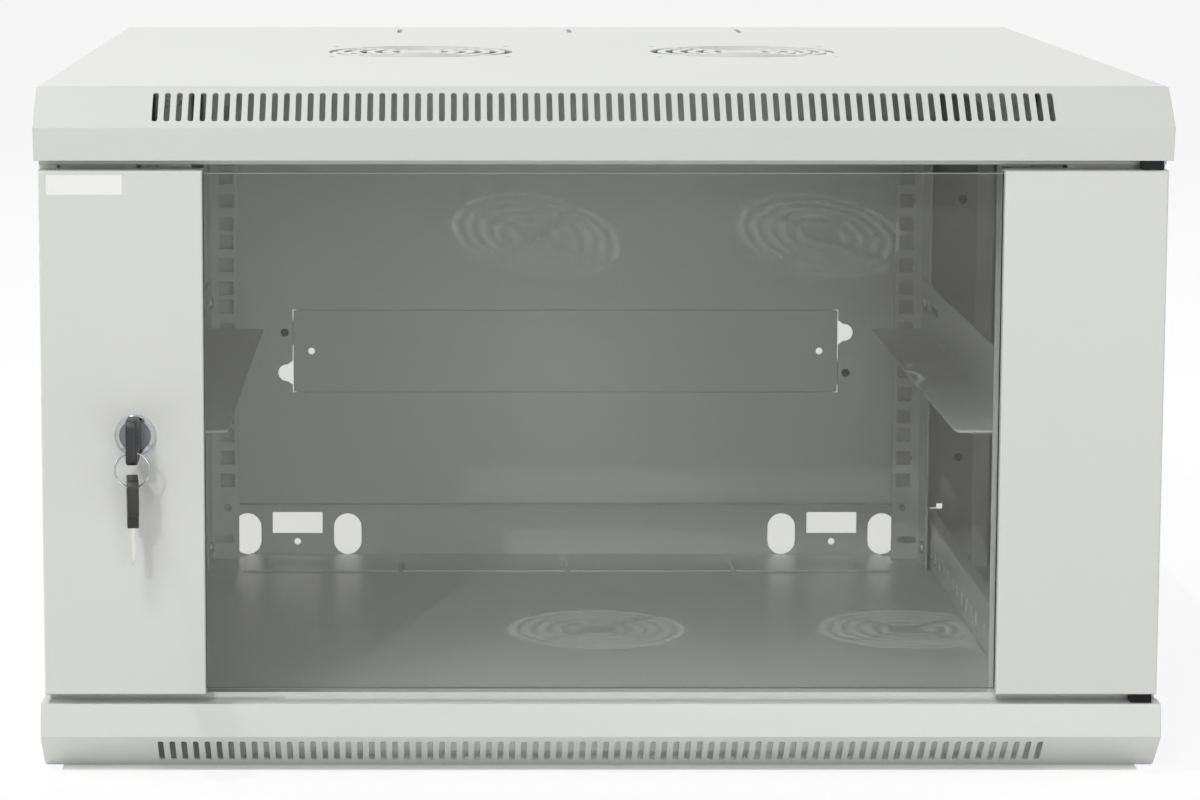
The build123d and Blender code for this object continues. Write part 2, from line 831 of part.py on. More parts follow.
with BuildPart() as support_nuts:
    with Locations(*screw_places(support_screw_places, rail_outer, False)):
        add(rail_nut)

# Rear wall with its cable opening, closed by a screwed plate
with BuildPart() as rear_wall:
    with BuildSketch(Plane.YZ):
        add(
            folded_sheet(
                (
                    (wall_front_y + wall_sheet - wall_hem, wall_bottom_z),
                    (wall_front_y + wall_sheet, wall_bottom_z),
                    (wall_front_y + wall_sheet, wall_bottom_z + wall_height),
                    (wall_front_y + wall_sheet - wall_hem, wall_bottom_z + wall_height),
                ),
                wall_sheet,
                post_bend,
            )
        )
    extrude(amount=wall_half_width, both=True)
    with BuildSketch(Plane.XZ.offset(-(wall_front_y + wall_sheet))):
        with Locations((0, plate_opening_z)):
            Rectangle(plate_opening_width, plate_opening_height)
        for side, notch_z in ((-1, left_notch_z), (1, right_notch_z)):
            with Locations((side * finger_notch_x, notch_z)):
                Circle(finger_notch_radius)
            add(finger_notch_flares(side, notch_z))
        for side, screw_z in ((-1, right_notch_z), (1, left_notch_z)):
            with Locations((side * plate_screw_offset, screw_z)):
                Circle(plate_screw_diameter / 2 + thread_clearance)
        with Locations((0, middle_z)):
            with GridLocations(2 * wall_screw_x, wall_screw_step, 2, 3):
                Circle(wall_screw_diameter / 2 + stud_clearance)
    extrude(amount=wall_sheet, mode=Mode.SUBTRACT)

with BuildPart() as cable_cover_plate:
    with BuildSketch(Plane.XZ.offset(-(wall_front_y + wall_sheet))):
        with Locations((0, plate_opening_z)):
            Rectangle(plate_opening_width - 2 * plate_gap, plate_opening_height - 2 * plate_gap)
    extrude(amount=wall_sheet)
    with BuildSketch(Plane.XZ.offset(-(wall_front_y + wall_sheet + plate_sheet))):
        with Locations((0, plate_opening_z)):
            Rectangle(plate_opening_width - 2 * plate_backing_gap, plate_opening_height + 2 * plate_backing)
        for side, screw_z in ((-1, right_notch_z), (1, left_notch_z)):
            with Locations((side * plate_opening_width / 2, screw_z)):
                Rectangle(2 * plate_tab_reach, plate_tab_height)
            with Locations((side * plate_screw_offset, screw_z)):
                Circle(plate_screw_diameter / 2 + thread_clearance, mode=Mode.SUBTRACT)
    extrude(amount=plate_sheet)
    with BuildSketch(Plane.XZ.offset(-wall_front_y)):
        with Locations(*[(side * plate_hole_offset, plate_opening_z) for side in (-1, 1)]):
            Circle(plate_hole_diameter / 2)
    extrude(amount=-wall_sheet - plate_sheet, mode=Mode.SUBTRACT)

with BuildPart() as cable_cover_screws:
    plate_screw = pan_head_screw(
        plate_screw_diameter, wall_sheet + plate_sheet, plate_screw_head, plate_screw_head_height
    )
    with Locations(
        *[
            facing((side * plate_screw_offset, wall_front_y, screw_z), (0, -1, 0))
            for side, screw_z in ((-1, right_notch_z), (1, left_notch_z))
        ]
    ):
        add(plate_screw)

with BuildPart() as wall_rivets:
    wall_rivet = pan_head_screw(
        wall_screw_diameter, wall_sheet + post_sheet, wall_screw_head, wall_screw_head_height
    )
    with Locations(
        *[
            facing((side * wall_screw_x, wall_front_y, middle_z + row * wall_screw_step), (0, -1, 0))
            for side in (-1, 1)
            for row in (-1, 0, 1)
        ]
    ):
        add(wall_rivet)

# Side panels: shallow trays that stand on two tabs behind the bottom cover's skirt
with BuildPart() as side_panel_right:
    with BuildSketch(Plane.YZ.offset(panel_outer_x)):
        with Locations((panel_middle_y, middle_z)):
            Rectangle(panel_length, panel_height)
    extrude(amount=-panel_return)
    with BuildSketch(Plane.YZ.offset(panel_outer_x - panel_sheet)):
        with Locations((panel_middle_y, middle_z)):
            Rectangle(panel_length - 2 * panel_sheet, panel_height - 2 * panel_sheet)
    extrude(amount=-panel_return, mode=Mode.SUBTRACT)
    with BuildSketch(Plane.XY.offset(panel_bottom_z + panel_height)):
        with Locations((panel_outer_x - panel_sheet, panel_middle_y)):
            Rectangle(panel_return, latch_notch, align=(Align.MAX, Align.CENTER))
    extrude(amount=-panel_sheet, mode=Mode.SUBTRACT)
    with BuildSketch(Plane.YZ.offset(side_x - cover_sheet - panel_tab_clearance)):
        with Locations((panel_middle_y, panel_bottom_z + panel_sheet)):
            with GridLocations(panel_tab_spacing, 1, 2, 1):
                Rectangle(panel_tab_width, panel_tab_drop + panel_sheet, align=(Align.CENTER, Align.MAX))
    extrude(amount=-panel_sheet)
    with BuildSketch(Plane.YZ.offset(panel_outer_x)):
        with Locations((panel_middle_y, latch_z)):
            Circle(latch_neck / 2)
    extrude(amount=-panel_sheet, mode=Mode.SUBTRACT)

with BuildPart() as side_panel_left:
    mirror(side_panel_right.part, about=Plane.YZ)

with BuildPart() as latch_bezel_right:
    with BuildSketch(Plane.YZ.offset(side_x)):
        with Locations((panel_middle_y, latch_z)):
            Circle(latch_bezel / 2)
    extrude(amount=-panel_recess)
    with BuildSketch(Plane.YZ.offset(panel_outer_x)):
        with Locations((panel_middle_y, latch_z)):
            Circle(latch_neck / 2)
    extrude(amount=-latch_neck_depth)
    with BuildSketch(Plane.YZ.offset(side_x)):
        with Locations((panel_middle_y, latch_z)):
            Circle(latch_barrel / 2 + running_clearance)
    extrude(amount=-latch_neck_depth - panel_recess, mode=Mode.SUBTRACT)

with BuildPart() as latch_bezel_left:
    mirror(latch_bezel_right.part, about=Plane.YZ)

# Side latches: a slotted barrel with a cam that turns up behind the top cover's skirt
with BuildPart() as side_latch_right:
    with BuildSketch(Plane.YZ.offset(side_x - latch_setback)):
        with Locations((panel_middle_y, latch_z)):
            Circle(latch_barrel / 2)
    extrude(amount=latch_cam_x - latch_cam_sheet - side_x + latch_setback)
    with BuildSketch(Plane.YZ.offset(latch_cam_x)):
        with Locations((panel_middle_y - latch_cam_reach / 2, latch_z)):
            SlotOverall(latch_cam_reach + latch_cam_width, latch_cam_width)
        with Locations((panel_middle_y - latch_cam_reach, latch_z)):
            Rectangle(latch_cam_width, latch_cam_width, align=(Align.MAX, Align.CENTER), mode=Mode.SUBTRACT)
        with Locations((panel_middle_y, latch_z)):
            Circle(latch_neck / 2)
    extrude(amount=-latch_cam_sheet)
    with BuildSketch(Plane.YZ.offset(side_x - latch_setback)):
        with Locations((panel_middle_y, latch_z)):
            Rectangle(latch_slot_length, latch_slot_width)
    extrude(amount=-latch_slot_depth, mode=Mode.SUBTRACT)

with BuildPart() as side_latch_left:
    mirror(side_latch_right.part, about=Plane.YZ)

# Door: two folded side panels, each closed by an inner plate, that hold one pane between them
with BuildPart() as door_panel_right:
    with BuildSketch(Plane.XZ.offset(-door_front_y)):
        with Locations(((door_inner_x + door_outer_x) / 2, middle_z)):
            Rectangle(door_panel_width, door_height)
    extrude(amount=-door_depth)
    fillet(door_panel_right.faces().sort_by(Axis.Y)[0].edges(), radius=door_edge)
    with BuildSketch(Plane.XZ.offset(-door_front_y - door_sheet)):
        with Locations(((door_inner_x + door_outer_x) / 2, middle_z)):
            Rectangle(door_panel_width - 2 * door_sheet, door_height - 2 * door_sheet)
    extrude(amount=-door_depth, mode=Mode.SUBTRACT)
    with BuildSketch(Plane.XZ.offset(-gasket_front_y)):
        with Locations((door_inner_x, middle_z)):
            Rectangle(2 * door_sheet, door_height - 2 * door_sheet)
    extrude(amount=-door_depth, mode=Mode.SUBTRACT)
    with Locations((hinge_x, hinge_y, middle_z)):
        Cylinder(bush_diameter / 2 + running_clearance, door_height, mode=Mode.SUBTRACT)

with BuildPart() as door_panel_left:
    mirror(door_panel_right.part, about=Plane.YZ)
    with BuildSketch(Plane.XZ.offset(-door_front_y)):
        with Locations((lock_x, middle_z)):
            Circle(lock_body / 2 + lock_body_clearance)
    extrude(amount=-door_sheet, mode=Mode.SUBTRACT)

with BuildPart() as inner_plate:
    with BuildSketch(Plane.XY.offset(door_bottom_z + door_sheet)):
        add(
            folded_sheet(
                (
                    (door_outer_x - door_sheet, door_back_y),
                    (door_inner_x, door_back_y),
                    (door_inner_x, gasket_back_y),
                ),
                door_sheet,
                door_bend,
            )
        )
    extrude(amount=door_height - 2 * door_sheet)

with BuildPart() as door_inner_plate_left:
    mirror(inner_plate.part, about=Plane.YZ)
    with BuildSketch(Plane.XZ.offset(-door_back_y)):
        with Locations((lock_x, middle_z)):
            Circle(lock_nut_window / 2)
    extrude(amount=door_sheet, mode=Mode.SUBTRACT)

with BuildPart() as door_inner_plate_right:
    add(inner_plate.part)
    with BuildSketch(Plane.XZ.offset(-door_back_y)):
        with Locations((hinge_x, bolt_grip_z - bolt_travel / 2)):
            SlotOverall(
                bolt_travel + bolt_grip_diameter + 2 * bolt_slot_margin,
                bolt_grip_diameter + 2 * bolt_slot_margin,
                rotation=90,
            )
    extrude(amount=door_sheet, mode=Mode.SUBTRACT)

with BuildPart() as door_glass:
    with BuildSketch(Plane.XZ.offset(-glass_front_y)):
        with Locations((0, middle_z)):
            Rectangle(2 * glass_half_width, glass_height)
    extrude(amount=-glass_thickness)

with BuildPart() as glass_gasket_right:
    with BuildSketch(Plane.XY.offset(glass_bottom_z)):
        with Locations((door_inner_x, gasket_front_y)):
            Rectangle(
                glass_cover + gasket_end_wall, gasket_back_y - gasket_front_y, align=(Align.MIN, Align.MIN)
            )
        with Locations((door_inner_x, glass_front_y)):
            Rectangle(glass_cover, glass_thickness, align=(Align.MIN, Align.MIN), mode=Mode.SUBTRACT)
    extrude(amount=glass_height)

with BuildPart() as glass_gasket_left:
    mirror(glass_gasket_right.part, about=Plane.YZ)

# Door hinges: a fixed pin below, a spring-loaded bolt above
with BuildPart() as hinge_pin_lower:
    with Locations((hinge_x, hinge_y, cover_height)):
        Box(
            hinge_block_width,
            hinge_block_depth,
            hinge_block_height,
            align=(Align.CENTER, Align.CENTER, Align.MIN),
        )
        Cylinder(
            hinge_pin_diameter / 2,
            hinge_block_height + hinge_pin_reach,
            align=(Align.CENTER, Align.CENTER, Align.MIN),
        )

with BuildPart() as hinge_block_upper:
    with Locations((hinge_x, hinge_y, cabinet_height - cover_height)):
        Box(
            hinge_block_width,
            hinge_block_depth,
            hinge_block_height,
            align=(Align.CENTER, Align.CENTER, Align.MAX),
        )
        Cylinder(
            hinge_pin_diameter / 2 + running_clearance,
            hinge_block_height,
            align=(Align.CENTER, Align.CENTER, Align.MAX),
            mode=Mode.SUBTRACT,
        )

with BuildPart() as hinge_bush_lower:
    with BuildSketch(Plane.XY.offset(door_bottom_z)):
        with Locations((hinge_x, hinge_y)):
            Circle(bush_diameter / 2)
    extrude(amount=bush_length)
    with BuildSketch(Plane.XY.offset(door_bottom_z + door_sheet)):
        with Locations((hinge_x, hinge_y)):
            Circle(bush_flange / 2)
    extrude(amount=bush_flange_height)
    with Locations((hinge_x, hinge_y, door_bottom_z)):
        Cylinder(
            hinge_pin_diameter / 2 + running_clearance,
            bush_length,
            align=(Align.CENTER, Align.CENTER, Align.MIN),
            mode=Mode.SUBTRACT,
        )

with BuildPart() as hinge_bush_upper:
    mirror(hinge_bush_lower.part, about=middle_plane)

with BuildPart() as hinge_bolt:
    with BuildSketch(Plane.XY.offset(bolt_bottom_z)):
        with Locations((hinge_x, hinge_y)):
            Circle(hinge_pin_diameter / 2)
    extrude(amount=bolt_length)
    with BuildSketch(Plane.XY.offset(collar_z)):
        with Locations((hinge_x, hinge_y)):
            Circle(bolt_collar / 2)
    extrude(amount=bolt_collar_height)
    with BuildSketch(Plane.XZ.offset(-hinge_y)):
        with Locations((hinge_x, bolt_grip_z)):
            Circle(bolt_grip_diameter / 2)
    extrude(amount=-(door_back_y + bolt_grip_reach - hinge_y))

with BuildPart() as hinge_bolt_guide:
    with BuildSketch(Plane.XY.offset(guide_z)):
        with Locations((hinge_x, door_back_y - door_sheet)):
            Rectangle(
                guide_width,
                door_back_y - door_sheet - hinge_y + guide_width / 2,
                align=(Align.CENTER, Align.MAX),
            )
        with Locations((hinge_x, hinge_y)):
            Circle(hinge_pin_diameter / 2 + running_clearance, mode=Mode.SUBTRACT)
    extrude(amount=guide_sheet)

with BuildPart() as hinge_spring:
    with BuildSketch(Plane.XY.offset(guide_z + guide_sheet)):
        with Locations((hinge_x, hinge_y)):
            Circle(spring_outer / 2)
            Circle(hinge_pin_diameter / 2 + spring_clearance, mode=Mode.SUBTRACT)
    extrude(amount=collar_z - guide_z - guide_sheet)

# Cam lock in the left door panel
lock_plane = Plane(origin=(lock_x, 0, middle_z), x_dir=(1, 0, 0), z_dir=(0, 1, 0))

with BuildPart() as lock_housing:
    with BuildSketch(lock_plane.offset(lock_bezel_y)):
        Circle(lock_bezel / 2)
    extrude(amount=lock_bezel_height)
    chamfer(lock_housing.faces().sort_by(Axis.Y)[0].edges(), length=lock_bezel_chamfer)
    with BuildSketch(lock_plane.offset(door_front_y)):
        Circle(lock_body / 2)
    extrude(amount=cam_front_y - cam_gap - door_front_y)
    with BuildSketch(lock_plane.offset(lock_bezel_y)):
        Circle(lock_rotor_head / 2 + running_clearance)
    extrude(amount=lock_rotor_setback + lock_rotor_head_depth, mode=Mode.SUBTRACT)
    with BuildSketch(lock_plane.offset(lock_bezel_y)):
        Circle(lock_rotor / 2 + running_clearance)
    extrude(amount=cam_front_y - lock_bezel_y, mode=Mode.SUBTRACT)

with BuildPart() as lock_nut:
    with Locations(lock_plane.offset(door_front_y + door_sheet).location):
        add(hex_nut(lock_nut_flats, lock_body + 2 * thread_clearance, lock_nut_height))

with BuildPart() as lock_cylinder:
    with BuildSketch(lock_plane.offset(rotor_front_y)):
        Circle(lock_rotor_head / 2)
    extrude(amount=lock_rotor_head_depth)
    with BuildSketch(lock_plane.offset(rotor_front_y)):
        Circle(lock_rotor / 2)
    extrude(amount=cam_front_y - rotor_front_y)
    with BuildSketch(lock_plane.offset(cam_front_y)):
        Rectangle(cam_square, cam_square)
    extrude(amount=cam_sheet)
    with BuildSketch(lock_plane.offset(rotor_front_y)):
        Rectangle(
            key_blade_thickness + 2 * key_blade_clearance, key_blade_width + 2 * key_blade_clearance
        )
    extrude(amount=key_head_y + key_blade_length + key_tip_gap - rotor_front_y, mode=Mode.SUBTRACT)
    with BuildSketch(lock_plane.offset(cam_front_y + cam_sheet)):
        Circle(cam_screw_diameter / 2 + thread_clearance)
    extrude(amount=-cam_screw_length, mode=Mode.SUBTRACT)

with BuildPart() as lock_cam:
    with BuildSketch(lock_plane.offset(cam_front_y)):
        Circle(cam_hub / 2)
        with Locations((0, (cam_reach - cam_width / 2) / 2)):
            SlotOverall(cam_reach + cam_width / 2, cam_width, rotation=90)
        Rectangle(cam_square + 2 * thread_clearance, cam_square + 2 * thread_clearance, mode=Mode.SUBTRACT)
    extrude(amount=cam_sheet)

with BuildPart() as cam_screw:
    with Locations(lock_plane.offset(cam_front_y + cam_sheet).location):
        add(pan_head_screw(cam_screw_diameter, cam_screw_length, cam_screw_head, cam_screw_head_height))


def key_blade():
    """Blade of a key along Z: its tongue below Z = 0, its notched part above."""
    with BuildPart() as blade:
        with BuildSketch(Plane.XZ):
            with BuildLine():
                half_width = key_blade_width / 2
                shoulder = half_width - key_notch_depth
                Polyline(
                    (half_width, -key_tongue),
                    *[(shoulder if cut else half_width, height) for cut, height in key_notches],
                    (key_notch_depth, key_blade_length),
                    (-key_notch_depth, key_blade_length),
                    (-half_width, key_blade_length - key_tip_bevel),
                    (-half_width, -key_tongue),
                    close=True,
                )
            make_face()
        extrude(amount=key_blade_thickness / 2, both=True)
    return blade.part


def key_head():
    """Moulded head of a key below Z = 0, with a slot for the ring across its end."""
    with BuildPart() as head:
        with BuildSketch(Plane.XZ):
            with Locations((0, -key_neck_length - key_head_length / 2)):
                RectangleRounded(key_head_width, key_head_length, key_head_corner)
            Rectangle(key_neck_width, key_neck_length + key_head_corner, align=(Align.CENTER, Align.MAX))
            with Locations((0, -key_slot_y)):
                RectangleRounded(key_slot_height, key_slot_width, key_slot_corner, mode=Mode.SUBTRACT)
        extrude(amount=key_head_thickness / 2, both=True)
        add(key_blade(), mode=Mode.SUBTRACT)
    return head.part


key_place = Plane(origin=(lock_x, key_head_y, middle_z), x_dir=(0, 0, 1), z_dir=(0, 1, 0)).location
spare_key_place = Plane(
    origin=(lock_x, ring_y, spare_key_z),
    x_dir=Vector(0, 1, 0).rotate(Axis.Z, spare_key_turn),
    z_dir=(0, 0, -1),
).location

with BuildPart() as key_blade_in_lock:
    with Locations(key_place):
        add(key_blade())

with BuildPart() as key_head_in_lock:
    with Locations(key_place):
        add(key_head())

with BuildPart() as spare_key_blade:
    with Locations(spare_key_place):
        add(key_blade())

with BuildPart() as spare_key_head:
    with Locations(spare_key_place):
        add(key_head())

with BuildPart() as key_ring:
    with Locations((lock_x, ring_y, ring_z)):
        Torus(ring_radius, ring_wire / 2, rotation=(90, 0, 0))

os.makedirs("parts", exist_ok=True)
for name, sub_part in {
    "bottom_cover": bottom_cover,
    "top_cover": top_cover,
    "floor_stiffener": floor_stiffener,
    "roof_stiffener": roof_stiffener,
    "front_post_left": front_post_left,
    "front_post_right": front_post_right,
    "rear_post_left": rear_post_left,
    "rear_post_right": rear_post_right,
    "frame_nuts": frame_nuts,
    "side_bar_lower_left": side_bar_lower_left,
    "side_bar_lower_right": side_bar_lower_right,
    "side_bar_upper_left": side_bar_upper_left,
    "side_bar_upper_right": side_bar_upper_right,
    "rack_rail_front_left": rack_rail_front_left,
    "rack_rail_front_right": rack_rail_front_right,
    "rack_rail_rear_left": rack_rail_rear_left,
    "rack_rail_rear_right": rack_rail_rear_right,
    "rail_screws": rail_screws,
    "rail_spacers": rail_spacers,
    "rail_nuts": rail_nuts,
    "support_angle_left": support_angle_left,
    "support_angle_right": support_angle_right,
    "support_screws": support_screws,
    "support_nuts": support_nuts,
    "rear_wall": rear_wall,
    "wall_rivets": wall_rivets,
    "cable_cover_plate": cable_cover_plate,
    "cable_cover_screws": cable_cover_screws,
    "side_panel_left": side_panel_left,
    "side_panel_right": side_panel_right,
    "latch_bezel_left": latch_bezel_left,
    "latch_bezel_right": latch_bezel_right,
    "side_latch_left": side_latch_left,
    "side_latch_right": side_latch_right,
    "door_panel_left": door_panel_left,
    "door_panel_right": door_panel_right,
    "door_inner_plate_left": door_inner_plate_left,
    "door_inner_plate_right": door_inner_plate_right,
    "door_glass": door_glass,
    "glass_gasket_left": glass_gasket_left,
    "glass_gasket_right": glass_gasket_right,
    "hinge_pin_lower": hinge_pin_lower,
    "hinge_block_upper": hinge_block_upper,
    "hinge_bush_lower": hinge_bush_lower,
    "hinge_bush_upper": hinge_bush_upper,
    "hinge_bolt": hinge_bolt,
    "hinge_bolt_guide": hinge_bolt_guide,
    "hinge_spring": hinge_spring,
    "lock_housing": lock_housing,
    "lock_nut": lock_nut,
    "lock_cylinder": lock_cylinder,
    "lock_cam": lock_cam,
    "cam_screw": cam_screw,
    "key_blade": key_blade_in_lock,
    "key_head": key_head_in_lock,
    "key_ring": key_ring,
    "spare_key_blade": spare_key_blade,
    "spare_key_head": spare_key_head,
}.items():
    sub_part.part.label = name
    export_step(sub_part.part, f"parts/{name}.step")
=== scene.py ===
"""Looks of a wall mount network cabinet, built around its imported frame."""

import json
import logging
import math
from dataclasses import dataclass
from enum import Enum
from typing import Any, Dict, List, Optional, Sequence, Tuple, Union

import bmesh
import bpy
from mathutils import Matrix, Vector

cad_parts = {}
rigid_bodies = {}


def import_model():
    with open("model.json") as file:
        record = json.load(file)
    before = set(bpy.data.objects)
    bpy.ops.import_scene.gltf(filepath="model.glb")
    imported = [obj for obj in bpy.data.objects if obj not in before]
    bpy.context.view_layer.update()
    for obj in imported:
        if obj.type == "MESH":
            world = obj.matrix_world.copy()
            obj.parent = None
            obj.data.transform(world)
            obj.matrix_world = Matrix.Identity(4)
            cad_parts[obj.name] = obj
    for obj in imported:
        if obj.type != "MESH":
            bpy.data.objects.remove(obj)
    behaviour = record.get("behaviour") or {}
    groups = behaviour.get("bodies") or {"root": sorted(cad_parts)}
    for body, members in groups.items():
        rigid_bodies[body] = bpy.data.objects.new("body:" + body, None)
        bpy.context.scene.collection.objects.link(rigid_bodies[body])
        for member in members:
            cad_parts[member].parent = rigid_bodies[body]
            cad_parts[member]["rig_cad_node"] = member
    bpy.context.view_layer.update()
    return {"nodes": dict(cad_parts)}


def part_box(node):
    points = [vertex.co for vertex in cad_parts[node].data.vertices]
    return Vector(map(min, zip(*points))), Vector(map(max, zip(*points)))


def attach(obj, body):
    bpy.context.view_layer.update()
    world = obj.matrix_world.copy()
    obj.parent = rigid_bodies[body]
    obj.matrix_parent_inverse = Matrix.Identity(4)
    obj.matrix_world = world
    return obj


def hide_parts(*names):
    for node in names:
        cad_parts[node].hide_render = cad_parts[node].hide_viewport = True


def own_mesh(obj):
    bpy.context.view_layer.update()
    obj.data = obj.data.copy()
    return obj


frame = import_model()

MM = 0.001
WHITE = (1.0, 1.0, 1.0, 1.0)
POLYMER_IOR = 1.5
GLASS_IOR = 1.5
BEVEL_SAMPLES = 4
SMOOTH_DEG = 35.0
SRGB_TOE, SRGB_SLOPE, SRGB_OFFSET, SRGB_POWER = 0.04045, 12.92, 0.055, 2.4

# Sockets of the colour mix node, which carries one set of inputs for each data type.
MIX_SHARE, MIX_FIRST, MIX_SECOND, MIX_RESULT = 0, 6, 7, 2

Point = Tuple[float, float, float]
Span = Tuple[float, float]
Socket = bpy.types.NodeSocket
log = logging.getLogger("cabinet")


def to_linear(hex_colour: str) -> Tuple[float, float, float, float]:
    """Turns an sRGB hex colour into the linear colour that shaders take.

    Args:
        hex_colour: six hex digits, with or without a leading #.

    Returns:
        Red, green, blue and an alpha of 1.
    """
    digits = hex_colour.lstrip("#")
    shares = [int(digits[i : i + 2], 16) / 255 for i in (0, 2, 4)]
    linear = [
        s / SRGB_SLOPE
        if s <= SRGB_TOE
        else ((s + SRGB_OFFSET) / (1 + SRGB_OFFSET)) ** SRGB_POWER
        for s in shares
    ]
    return (linear[0], linear[1], linear[2], 1.0)


def add_node(
    tree: bpy.types.NodeTree,
    kind: str,
    settings: Optional[Dict[str, Any]] = None,
    values: Optional[Dict[Any, Any]] = None,
    links: Optional[Dict[Any, Socket]] = None,
) -> bpy.types.Node:
    """Adds one node with its settings, values and links.

    Args:
        tree: the shader or geometry tree that gets the node.
        kind: the node's type.
        settings: attributes of the node itself.
        values: default values by input name or number.
        links: sockets that feed the inputs, by input name or number.

    Returns:
        The new node.
    """
    node = tree.nodes.new(kind)
    for key, value in (settings or {}).items():
        setattr(node, key, value)
    for key, value in (values or {}).items():
        node.inputs[key].default_value = value
    for key, socket in (links or {}).items():
        tree.links.new(socket, node.inputs[key])
    return node


def add_math(tree: bpy.types.NodeTree, operation: str, *terms: Union[float, Socket]) -> Socket:
    """Adds a math node.

    Args:
        tree: the tree that gets the node.
        operation: the node's operation.
        terms: its inputs in order, each a number or a socket.

    Returns:
        The socket of the result.
    """
    values = {k: term for k, term in enumerate(terms) if isinstance(term, float)}
    links = {k: term for k, term in enumerate(terms) if not isinstance(term, float)}
    return add_node(tree, "ShaderNodeMath", {"operation": operation}, values, links).outputs[0]


def add_noise(tree: bpy.types.NodeTree, spot: Socket, scale: float, detail: float) -> Socket:
    """Adds a noise texture.

    Args:
        tree: the material's tree.
        spot: the coordinates that it is read at.
        scale: grains per unit of those coordinates.
        detail: octaves of finer grain.

    Returns:
        The socket of the noise, from 0 to 1.
    """
    values = {"Scale": scale, "Detail": detail}
    return add_node(tree, "ShaderNodeTexNoise", None, values, {"Vector": spot}).outputs["Fac"]


def add_tone(tree: bpy.types.NodeTree, shade: str, colour: str, share: Socket) -> Socket:
    """Mixes two colours.

    Args:
        tree: the material's tree.
        shade: hex colour where the share is 0.
        colour: hex colour where the share is 1.
        share: the socket that mixes them.

    Returns:
        The socket of the mixed colour.
    """
    values = {MIX_FIRST: to_linear(shade), MIX_SECOND: to_linear(colour)}
    mix = add_node(tree, "ShaderNodeMix", {"data_type": "RGBA"}, values, {MIX_SHARE: share})
    return mix.outputs[MIX_RESULT]


def add_range(
    tree: bpy.types.NodeTree, limits: Span, share: Socket, start: float = 0.0
) -> Socket:
    """Spreads a share over a range.

    Args:
        tree: the tree that gets the node.
        limits: results at the start and at a share of 1.
        share: the socket that is spread.
        start: the share up to which the result stays at its first limit.

    Returns:
        The socket of the result.
    """
    values = {"From Min": start, "To Min": limits[0], "To Max": limits[1]}
    return add_node(tree, "ShaderNodeMapRange", None, values, {"Value": share}).outputs["Result"]


def add_rounding(tree: bpy.types.NodeTree, radius_mm: float) -> Socket:
    """Rounds edges for the light alone, so that they catch it as real edges do.

    Args:
        tree: the material's tree.
        radius_mm: radius of the rounding.

    Returns:
        The socket of the rounded normal.
    """
    values = {"Radius": radius_mm * MM}
    edge = add_node(tree, "ShaderNodeBevel", {"samples": BEVEL_SAMPLES}, values)
    return edge.outputs["Normal"]


def add_relief(
    tree: bpy.types.NodeTree, height: Socket, normal: Socket, strength: float, depth_mm: float
) -> Socket:
    """Adds a relief to a normal.

    Args:
        tree: the material's tree.
        height: the relief's height, from 0 to 1.
        normal: the normal that it is laid on.
        strength: its share.
        depth_mm: its full depth.

    Returns:
        The socket of the new normal.
    """
    values = {"Strength": strength, "Distance": depth_mm * MM}
    links = {"Height": height, "Normal": normal}
    return add_node(tree, "ShaderNodeBump", None, values, links).outputs["Normal"]


def add_direct_sight(tree: bpy.types.NodeTree) -> Socket:
    """Tells rays that show a surface from those that light the object with it.

    Args:
        tree: the tree of the world or a material.

    Returns:
        A socket with 1 for camera, glossy and transmission rays and 0 for others.
    """
    path = add_node(tree, "ShaderNodeLightPath").outputs
    shown = add_math(tree, "MAXIMUM", path["Is Camera Ray"], path["Is Glossy Ray"])
    return add_math(tree, "MAXIMUM", shown, path["Is Transmission Ray"])


def new_material(name: str) -> Tuple[bpy.types.Material, bpy.types.NodeTree, Socket]:
    """Makes an empty node material.

    Args:
        name: the finish's name.

    Returns:
        The material, its tree and the socket of the Object coordinates.
    """
    material = bpy.data.materials.new(name)
    material.use_nodes = True
    tree = material.node_tree
    tree.nodes.clear()
    return material, tree, add_node(tree, "ShaderNodeTexCoord").outputs["Object"]


def close_surface(tree: bpy.types.NodeTree, shader: Socket) -> None:
    """Links a shader to the material's output.

    Args:
        tree: the material's tree.
        shader: the shader's socket.
    """
    add_node(tree, "ShaderNodeOutputMaterial", links={"Surface": shader})


def close_principled(
    tree: bpy.types.NodeTree,
    values: Dict[str, float],
    colour: Socket,
    roughness: Socket,
    normal: Socket,
) -> None:
    """Ends a material in a principled shader.

    Args:
        tree: the material's tree.
        values: constant inputs of the shader.
        colour: socket of the base colour.
        roughness: socket of the roughness.
        normal: socket of the normal.
    """
    links = {"Base Color": colour, "Roughness": roughness, "Normal": normal}
    shader = add_node(tree, "ShaderNodeBsdfPrincipled", None, values, links)
    close_surface(tree, shader.outputs["BSDF"])


@dataclass(frozen=True)
class Layer:
    """One noise layer of a surface, with the strength and depth of its relief."""

    size_mm: float
    detail: float
    strength: float = 0.0
    depth_mm: float = 0.0


